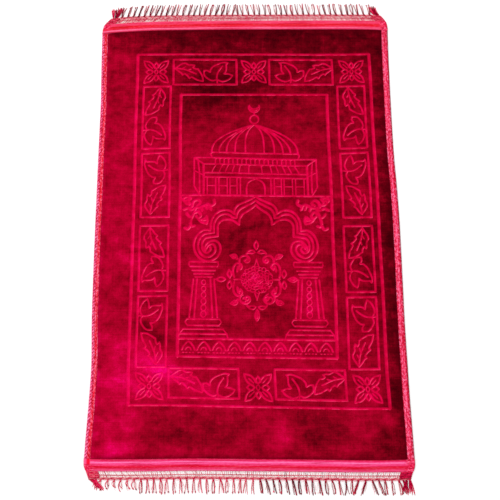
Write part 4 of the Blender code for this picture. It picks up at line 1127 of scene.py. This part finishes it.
def tassel(form, end, length, k, middle):
    """Tassel below a knot: a tight wedge, two twisted legs, and loose hairs between them."""
    zone = next(row for row in FRINGE_ZONES if row[0] == end and (k + 0.5) / TASSELS < row[1])
    lean, splay_by, thickness, zone_reach, curl_by, dark = zone[2:]
    lean_channel, style_channel, reach_channel = FRINGE_CHANNELS[end]
    lean += LEG_SWING * scatter(k, lean_channel)
    style = scatter(k, style_channel)
    dark += 0.07 * scatter(k, 23)
    knot = np.array(fringe_root(end, length, middle, KNOTS_FROM + 0.002))
    foot = np.array(fringe_root(end, length, middle, KNOTS_TO + 0.004))
    t = np.linspace(0.0, 1.0, 6)[:, None]
    wedge = np.hstack((knot + (foot - knot + (0.12 * lean, 0.0)) * t, 0.002 - 0.0006 * t))
    form.tube(wedge, (0.4 + 0.5 * thickness) * (0.0019 - 0.0008 * t), dark - 0.1, 6)
    twist(form, wedge + (0, 0, 0.0004), 2, 0.0005, 0.0017, 0.006, scatter(k, 24), dark - 0.15)
    t = np.linspace(0.0, 1.0, LEG_STEPS)
    uneven = 0.07 + 34 * curl_by
    for hand in (-1.0, 1.0):
        index = 2 * k + (hand > 0)
        reach = zone_reach * LEG_LENGTH * (1.0 - uneven + uneven * scatter(index, reach_channel))
        splay = hand * splay_by * (1.0 + 0.7 * scatter(index, 6)) + lean
        bent = 0.5 * splay_by * scatter(index, 7) - curl_by
        if style > 0.35:
            splay = lean + 0.2 * hand * splay_by
            bent += hand * 0.0012
        root = fringe_root(end, length, middle + hand * LEG_SPREAD * 0.55, KNOTS_TO + 0.001)
        lift = 0.0006 * (1 + scatter(index, 8))
        path = leg_path(end, root, (splay, reach - 0.001), bent, LEG_STEPS, lift)
        tone = dark + (0.12 * scatter(index, 9) - TONE_FALL[end]) * t
        stout = 1.4 if hand * scatter(k, 26) > 0.0 else 0.42
        thick = thickness * stout * (1.0 + 0.3 * scatter(k, 27))
        rest = 0.0002 + 0.0005 * thick
        form.tube(path + (0, 0, rest), thick * (0.00112 - 0.0005 * t), tone, 5)
        twist(form, path, 3, THREAD, 0.0008 * thick, 0.011, index, tone - 0.06)
        if style > -0.3:
            tip_knot(form, path[-3], 0.82 + 0.12 * scatter(index, 10))
    for index in range(WISPS * k, WISPS * (k + 1)):
        root = fringe_root(end, length, middle + 0.0014 * scatter(index, 31), KNOTS_TO)
        reach = zone_reach * LEG_LENGTH * (0.7 + 0.26 * scatter(index, 32))
        way = (0.6 * lean + 0.006 * scatter(index, 33), reach)
        path = leg_path(end, root, way, 0.003 * scatter(index, 34), 10, 0.0009)
        form.tube(path, WISP, 0.36 + 0.42 * scatter(index, 35))


def tuft(form, length, row, end, side, inset, slant, reach, width, tuft_tone):
    """Thick corner tuft of loose twisted threads."""
    fray = 0.008 if (end, side) == ("near", "left") else 0.003
    middle = inset if side == "left" else length - inset
    for k in range(TUFT_THREADS):
        spread = (k % 6 - 2.5) / 5.0
        way = (slant * reach + 2.0 * spread * width + fray * scatter(k, row + 50),
               reach * (0.86 + 0.15 * scatter(k, row + 70)))
        bent = 0.25 * slant * reach + 0.0012 * scatter(k, row + 90)
        root = fringe_root(end, length, middle + spread * width)
        path = leg_path(end, root, way, bent, 16, 0.0008 * (k // 6) + 0.0004)
        tone = np.linspace(tuft_tone, tuft_tone - 0.1 + 0.22 * scatter(k, row + 110), len(path))
        twist(form, path, 2, THREAD, 0.0004, 0.009, k, tone)


def make_fringe(end, material):
    """Twisted knot row along the net, with its tassels and thick corner tufts lying on the floor."""
    form = Form()
    length = end_length(end, KNOTS_FROM)
    run = np.linspace(0.0, length, round(length / KNOT_STEP))
    for row, (past, tone) in enumerate(KNOT_ROWS):
        twined(form, KNOT_MAKE, end, run, length, KNOTS_FROM + past, row, KNOT_RADIUS, tone)
    pitch = (length - 2 * TUFT_ZONE) / TASSELS
    middles = [TUFT_ZONE + (k + 0.5) * pitch + 0.001 * scatter(k, 1) for k in range(TASSELS)]
    for k, middle in enumerate(middles):
        tassel(form, end, length, k, middle)
    gates = [TUFT_ZONE] + middles + [length - TUFT_ZONE]
    t = np.linspace(0.0, 1.0, 9)
    for k, (a, b) in enumerate(zip(gates, gates[1:])):
        sag = 0.0022 + 0.001 * scatter(k, 41)
        beyond = KNOTS_FROM + 0.0036 + sag * np.sin(math.pi * t)
        swag = along_end(end, (a + (b - a) * t) / length, beyond, 0.0008)
        form.tube(swag, 0.0003, 0.42 + 0.1 * scatter(k, 42))
    for row, values in enumerate(TUFT_ROWS):
        if values[0] == end:
            tuft(form, length, row, *values)
    return form.piece("fringe_threads_" + end, material, "fringe", "fringe_" + end)


# ---- materials
def colour(red, green, blue):
    """Colour given in everyday 0 to 255 values, as the shader wants it."""
    parts = [c / 255.0 for c in (red, green, blue)]
    return tuple(c / 12.92 if c <= 0.04045 else ((c + 0.055) / 1.055) ** 2.4 for c in parts) + (1.0,)


class Finish:
    """A material with short names for the nodes it uses."""

    def __init__(self, name, roughness, specular=0.0):
        self.material = bpy.data.materials.new(name)
        self.material.use_nodes = True
        self.tree = self.material.node_tree
        self.shader = self.tree.nodes["Principled BSDF"]
        self.shader.inputs["Roughness"].default_value = roughness
        self.shader.inputs["Specular IOR Level"].default_value = specular
        self.place = self.node("TexCoord").outputs["Object"]

    def node(self, kind, *values):
        """New node with its first inputs set or linked, except where the value is None."""
        node = self.tree.nodes.new("ShaderNode" + kind)
        for socket, value in zip(node.inputs, values):
            self.put(socket, value)
        return node

    def put(self, socket, value):
        if isinstance(value, bpy.types.NodeSocket):
            self.tree.links.new(value, socket)
        elif value is not None:
            socket.default_value = value

    def value(self, name):
        node = self.node("Attribute")
        node.attribute_name = name
        return node.outputs["Fac"]

    def math(self, operation, *values):
        node = self.node("Math", *values)
        node.operation = operation
        return node.outputs[0]

    def step(self, value, low, high):
        """Soft step from 0 at low to 1 at high."""
        node = self.node("MapRange", value, low, high)
        node.interpolation_type = "SMOOTHSTEP"
        return node.outputs["Result"]

    def noise(self, scale, stretch=(1.0, 1.0, 1.0), detail=3.0, rough=0.55):
        """Cloudy value round 0.5, its cells a stretch longer or shorter on each axis."""
        mapping = self.node("Mapping", self.place, None, None, stretch)
        return self.node("TexNoise", mapping.outputs[0], None, scale, detail, rough).outputs["Fac"]

    def ramp(self, value, stops):
        node = self.node("ValToRGB", value)
        elements = node.color_ramp.elements
        while len(elements) < len(stops):
            elements.new(0.5)
        for element, (at, shade) in zip(elements, stops):
            element.position = at
            element.color = colour(*shade)
        return node.outputs["Color"]

    def mix(self, share, first, second, blend="MIX"):
        node = self.node("Mix")
        node.data_type = "RGBA"
        node.blend_type = blend
        for k, value in ((0, share), (6, first), (7, second)):
            self.put(node.inputs[k], value)
        return node.outputs[2]

    def swayed(self, value, wave, amount):
        """A value moved up and down by a wave round 0.5."""
        return self.math("MULTIPLY_ADD", self.math("SUBTRACT", wave, 0.5), amount, value)

    def tinted(self, shade, share, amount, tint, blend="MIX"):
        """A shade with some of a tint laid over it."""
        return self.mix(self.math("MULTIPLY", share, amount), shade, colour(*tint), blend)

    def finish(self, shade, height, depth):
        """Colour and relief on the shader."""
        self.put(self.shader.inputs["Base Color"], shade)
        bump = self.node("Bump")
        bump.inputs["Distance"].default_value = depth
        self.put(bump.inputs["Height"], height)
        self.put(self.shader.inputs["Normal"], bump.outputs["Normal"])
        return self.material


def velvet():
    """Crimson pile in soft clouds, toned by a painted sheen from how its nap lies; bright pink where it is
    pressed, a painted sheen of the crushed pile; painted shade along its rim; a painted highlight on one
    flank of each line and painted shade on the other.
    """
    f = Finish("velvet", 0.95)
    f.shader.inputs["Sheen Weight"].default_value = 0.25
    f.shader.inputs["Sheen Roughness"].default_value = 0.5
    f.shader.inputs["Sheen Tint"].default_value = colour(255, 0, 60)
    clouds = f.noise(20.0, (1.0, 1.5, 1.0), 4.0)
    mottle = f.noise(70.0)
    rows = f.noise(12.0, (1.0, 26.0, 1.0))
    columns = f.noise(12.0, (30.0, 1.0, 1.0))
    grain = f.noise(420.0, detail=2.0)
    # nap: the pile's painted sheen from how its nap lies
    tone = f.value("nap")
    for wave, amount in ((clouds, 0.6), (mottle, 0.4), (rows, 0.22), (columns, 0.16), (grain, 0.26)):
        tone = f.swayed(tone, wave, amount)
    pile = f.ramp(tone, (
        (0.0, (52, 0, 6)), (0.2, (92, 1, 13)), (0.42, (147, 2, 29)),
        (0.62, (184, 2, 47)), (0.8, (216, 2, 74)), (1.0, (248, 4, 120)),
    ))
    # painted shade along the pile's rim, where it meets the tapes and bands
    pile = f.tinted(pile, f.value("rim"), 0.55, (70, 0, 10))
    broken = f.noise(60.0)
    # pressed lines: brighter pink, a painted sheen of the crushed pile, following the pile's tone
    line_shade = f.ramp(f.swayed(f.math("MULTIPLY_ADD", tone, 0.75, 0.18), broken, 0.9), (
        (0.0, (160, 3, 38)), (0.35, (200, 4, 54)), (0.65, (228, 5, 74)), (1.0, (248, 10, 106)),
    ))
    shade = f.mix(f.step(f.value("pressed"), 0.08, 0.6), pile, line_shade)
    # painted highlight, in broken patches, on the flank towards LIT_SIDE
    painted_highlight = f.math("MULTIPLY", f.step(f.value("flank"), 0.42, 0.95), f.step(broken, 0.4, 0.58))
    shade = f.tinted(shade, painted_highlight, 0.6, (255, 84, 136))
    # painted shade on the opposite flank
    shade = f.tinted(shade, f.step(f.value("flank"), -0.25, -0.95), 0.45, (100, 0, 20))
    back = f.mix(f.noise(600.0), colour(150, 20, 50), colour(205, 70, 100))
    shade = f.mix(f.value("back"), shade, back)
    fibres = f.math("ADD", f.noise(1500.0, detail=1.0), f.math("MULTIPLY", f.noise(320.0), 0.8))
    return f.finish(shade, fibres, 0.0006)


def woven(name, stops, length_ways):
    """Striped tape or band: stripes across it, with lighter and darker streaks and speckles of its threads.
    """
    f = Finish(name, 0.6, 0.05)
    stretch = (1.0, 0.55, 1.0) if length_ways else (0.45, 1.3, 1.0)
    threads = f.noise(1300.0, stretch, 2.0)
    speckle = f.noise(250.0, stretch, 1.5, 0.7)
    streaks = f.noise(200.0, (1.6, 0.06, 1.0) if length_ways else (0.05, 2.0, 1.0), 2.0)
    flecked, lit, dim, waver = (0.85, 0.7, 0.75, 0.04) if length_ways else (0.14, 0.24, 0.66, 0.025)
    shade = f.ramp(f.swayed(f.value("across"), f.noise(120.0), waver), stops)
    for wave, low, high, amount, tint, blend in (
        (streaks, 0.52, 0.64, lit, (34, 84, 104), "ADD"),
        (speckle, 0.51, 0.62, flecked, (50, 110, 130), "ADD"),
        (streaks, 0.48, 0.36, dim, (214, 70, 130), "MULTIPLY"),
        (speckle, 0.49, 0.38, flecked, (202, 70, 124), "MULTIPLY"),
    ):
        shade = f.tinted(shade, f.step(wave, low, high), amount, tint, blend)
    return f, shade, threads


# stripes: share of the width out from the rug's edge (tapes) or the pile (bands), colour
TAPE_STRIPES = {
    "left": (
        (0.0, (244, 100, 146)), (0.08, (255, 100, 150)), (0.2, (255, 86, 136)), (0.38, (255, 76, 130)),
        (0.46, (226, 12, 62)), (0.52, (234, 14, 60)), (0.58, (246, 14, 58)), (0.66, (240, 4, 40)),
        (0.8, (238, 4, 42)), (0.88, (248, 34, 80)), (0.94, (252, 58, 100)), (0.99, (250, 34, 92)),
    ),
    "right": (
        (0.0, (126, 2, 30)), (0.08, (172, 6, 42)), (0.16, (214, 10, 56)), (0.28, (226, 12, 64)),
        (0.38, (244, 30, 84)), (0.52, (252, 48, 100)), (0.62, (252, 70, 116)), (0.78, (252, 66, 112)),
        (0.88, (248, 32, 84)), (0.98, (230, 10, 62)),
    ),
}
BAND_STRIPES = {
    "near": (
        (0.0, (206, 6, 54)), (0.08, (226, 16, 78)), (0.15, (236, 44, 108)), (0.2, (240, 56, 122)),
        (0.25, (248, 116, 172)), (0.3, (250, 108, 166)), (0.34, (240, 52, 122)), (0.39, (246, 92, 152)),
        (0.44, (244, 44, 112)), (0.49, (242, 68, 126)), (0.54, (232, 10, 70)), (0.62, (224, 2, 44)),
        (0.69, (212, 4, 48)), (0.75, (232, 48, 98)), (0.8, (222, 24, 78)), (0.86, (240, 84, 134)),
        (0.93, (230, 60, 112)), (1.0, (232, 90, 130)),
    ),
    "far": (
        (0.0, (190, 20, 60)), (0.07, (210, 30, 74)), (0.13, (232, 56, 104)), (0.19, (246, 104, 146)),
        (0.25, (242, 88, 130)), (0.3, (224, 14, 56)), (0.36, (232, 40, 80)), (0.42, (228, 6, 38)),
        (0.56, (224, 0, 22)), (0.61, (222, 6, 42)), (0.66, (240, 62, 102)), (0.72, (228, 22, 68)),
        (0.79, (240, 68, 112)), (0.86, (230, 32, 82)), (0.93, (240, 76, 114)), (1.0, (236, 96, 124)),
    ),
}


def tape(side):
    """Side tape's stripes, with painted shade in the cord's hollows and the ribs' light and dark."""
    f, shade, threads = woven("tape_" + side, TAPE_STRIPES[side], True)
    ribs = f.value("fleck")
    # painted shade in the cord's hollows
    shade = f.tinted(shade, f.value("spot"), 0.9, (150, 2, 40))
    shade = f.tinted(shade, f.step(ribs, 0.2, 1.0), 0.6, (26, 60, 84), "ADD")
    shade = f.tinted(shade, f.step(ribs, -0.2, -1.0), 0.6, (196, 70, 120), "MULTIPLY")
    return f.finish(shade, threads, 0.0004)


def band(end):
    """End band's stripes, mottled at its ends, where the left tape's stripes run on over it."""
    f, shade, threads = woven("band_" + end, BAND_STRIPES[end], False)
    shade = f.mix(f.step(f.value("edge"), 0.99, 0.94), shade, f.ramp(f.value("edge"), TAPE_STRIPES["left"]))
    mottled = f.ramp(f.noise(300.0, (0.5, 1.5, 1.0), 2.0, 0.7), (
        (0.36, (150, 0, 38)), (0.46, (226, 8, 60)), (0.55, (240, 26, 84)), (0.64, (250, 120, 160)),
    ))
    shade = f.mix(f.math("MULTIPLY", f.value("mottle"), 0.9), shade, mottled)
    shade = f.tinted(shade, f.value("fleck"), 0.4, (14, 30, 44), "ADD")
    return f.finish(shade, threads, 0.0004)


def yarn(name):
    """Loose thread, from near white through pink to dark crimson."""
    f = Finish(name, 0.75, 0.04)
    shade = f.ramp(f.swayed(f.value("tone"), f.noise(260.0, detail=2.0), 0.45), (
        (0.0, (255, 253, 250)), (0.22, (253, 224, 219)), (0.42, (244, 138, 150)), (0.6, (236, 36, 92)),
        (0.74, (206, 4, 60)), (0.87, (158, 0, 42)), (1.0, (98, 0, 27)),
    ))
    return f.finish(shade, f.noise(1800.0, detail=1.0), 0.0003)


def plain_floor():
    """Plain pale floor."""
    f = Finish("floor", 0.9)
    f.shader.inputs["Base Color"].default_value = (0.95, 0.95, 0.95, 1.0)
    return f.material


# ---- floor, light and camera
def make_floor():
    mesh = bpy.data.meshes.new("floor")
    reach, low = 6.0, -0.0001
    corners = [(-reach, -reach, low), (reach, -reach, low), (reach, reach, low), (-reach, reach, low)]
    mesh.from_pydata(corners, [], [(0, 1, 2, 3)])
    mesh.materials.append(plain_floor())
    floor = bpy.data.objects.new("floor", mesh)
    bpy.context.scene.collection.objects.link(floor)


def make_light():
    """White sky all round and one large soft lamp, behind the rug to the left."""
    world = bpy.data.worlds.new("studio")
    world.use_nodes = True
    sky = world.node_tree.nodes["Background"]
    sky.inputs["Color"].default_value = (1.0, 1.0, 1.0, 1.0)
    sky.inputs["Strength"].default_value = 0.82
    bpy.context.scene.world = world
    data = bpy.data.lights.new("softbox", "AREA")
    data.shape = "SQUARE"
    data.size = 3.6
    data.energy = 360.0
    light = bpy.data.objects.new("softbox", data)
    light.location = (-3.3, 4.5, 6.3)
    light.rotation_euler = (-light.location).to_track_quat("-Z", "Y").to_euler()
    bpy.context.scene.collection.objects.link(light)


def make_camera():
    data = bpy.data.cameras.new("camera")
    data.sensor_width = 36.0
    data.lens = 32.4
    data.clip_start = 0.01
    camera = bpy.data.objects.new("camera", data)
    camera.location = (0.008, -0.2307, 1.158)
    camera.rotation_euler = [math.radians(turn) for turn in (8.695, 0.11, -0.41)]
    bpy.context.scene.collection.objects.link(camera)
    bpy.context.scene.camera = camera


def main():
    bpy.context.scene.view_settings.view_transform = "Standard"
    make_camera()
    make_floor()
    make_light()
    pile = make_pile(velvet())
    trims = [make_binding(side, tape(side)) for side in ("left", "right")]
    loose = yarn("yarn")
    for end in ("near", "far"):
        trims.append(make_band(end, band(end)))
        trims.append(make_net(end, loose))
        trims.append(make_blocks(end, loose))
        trims.append(make_fringe(end, loose))


main()
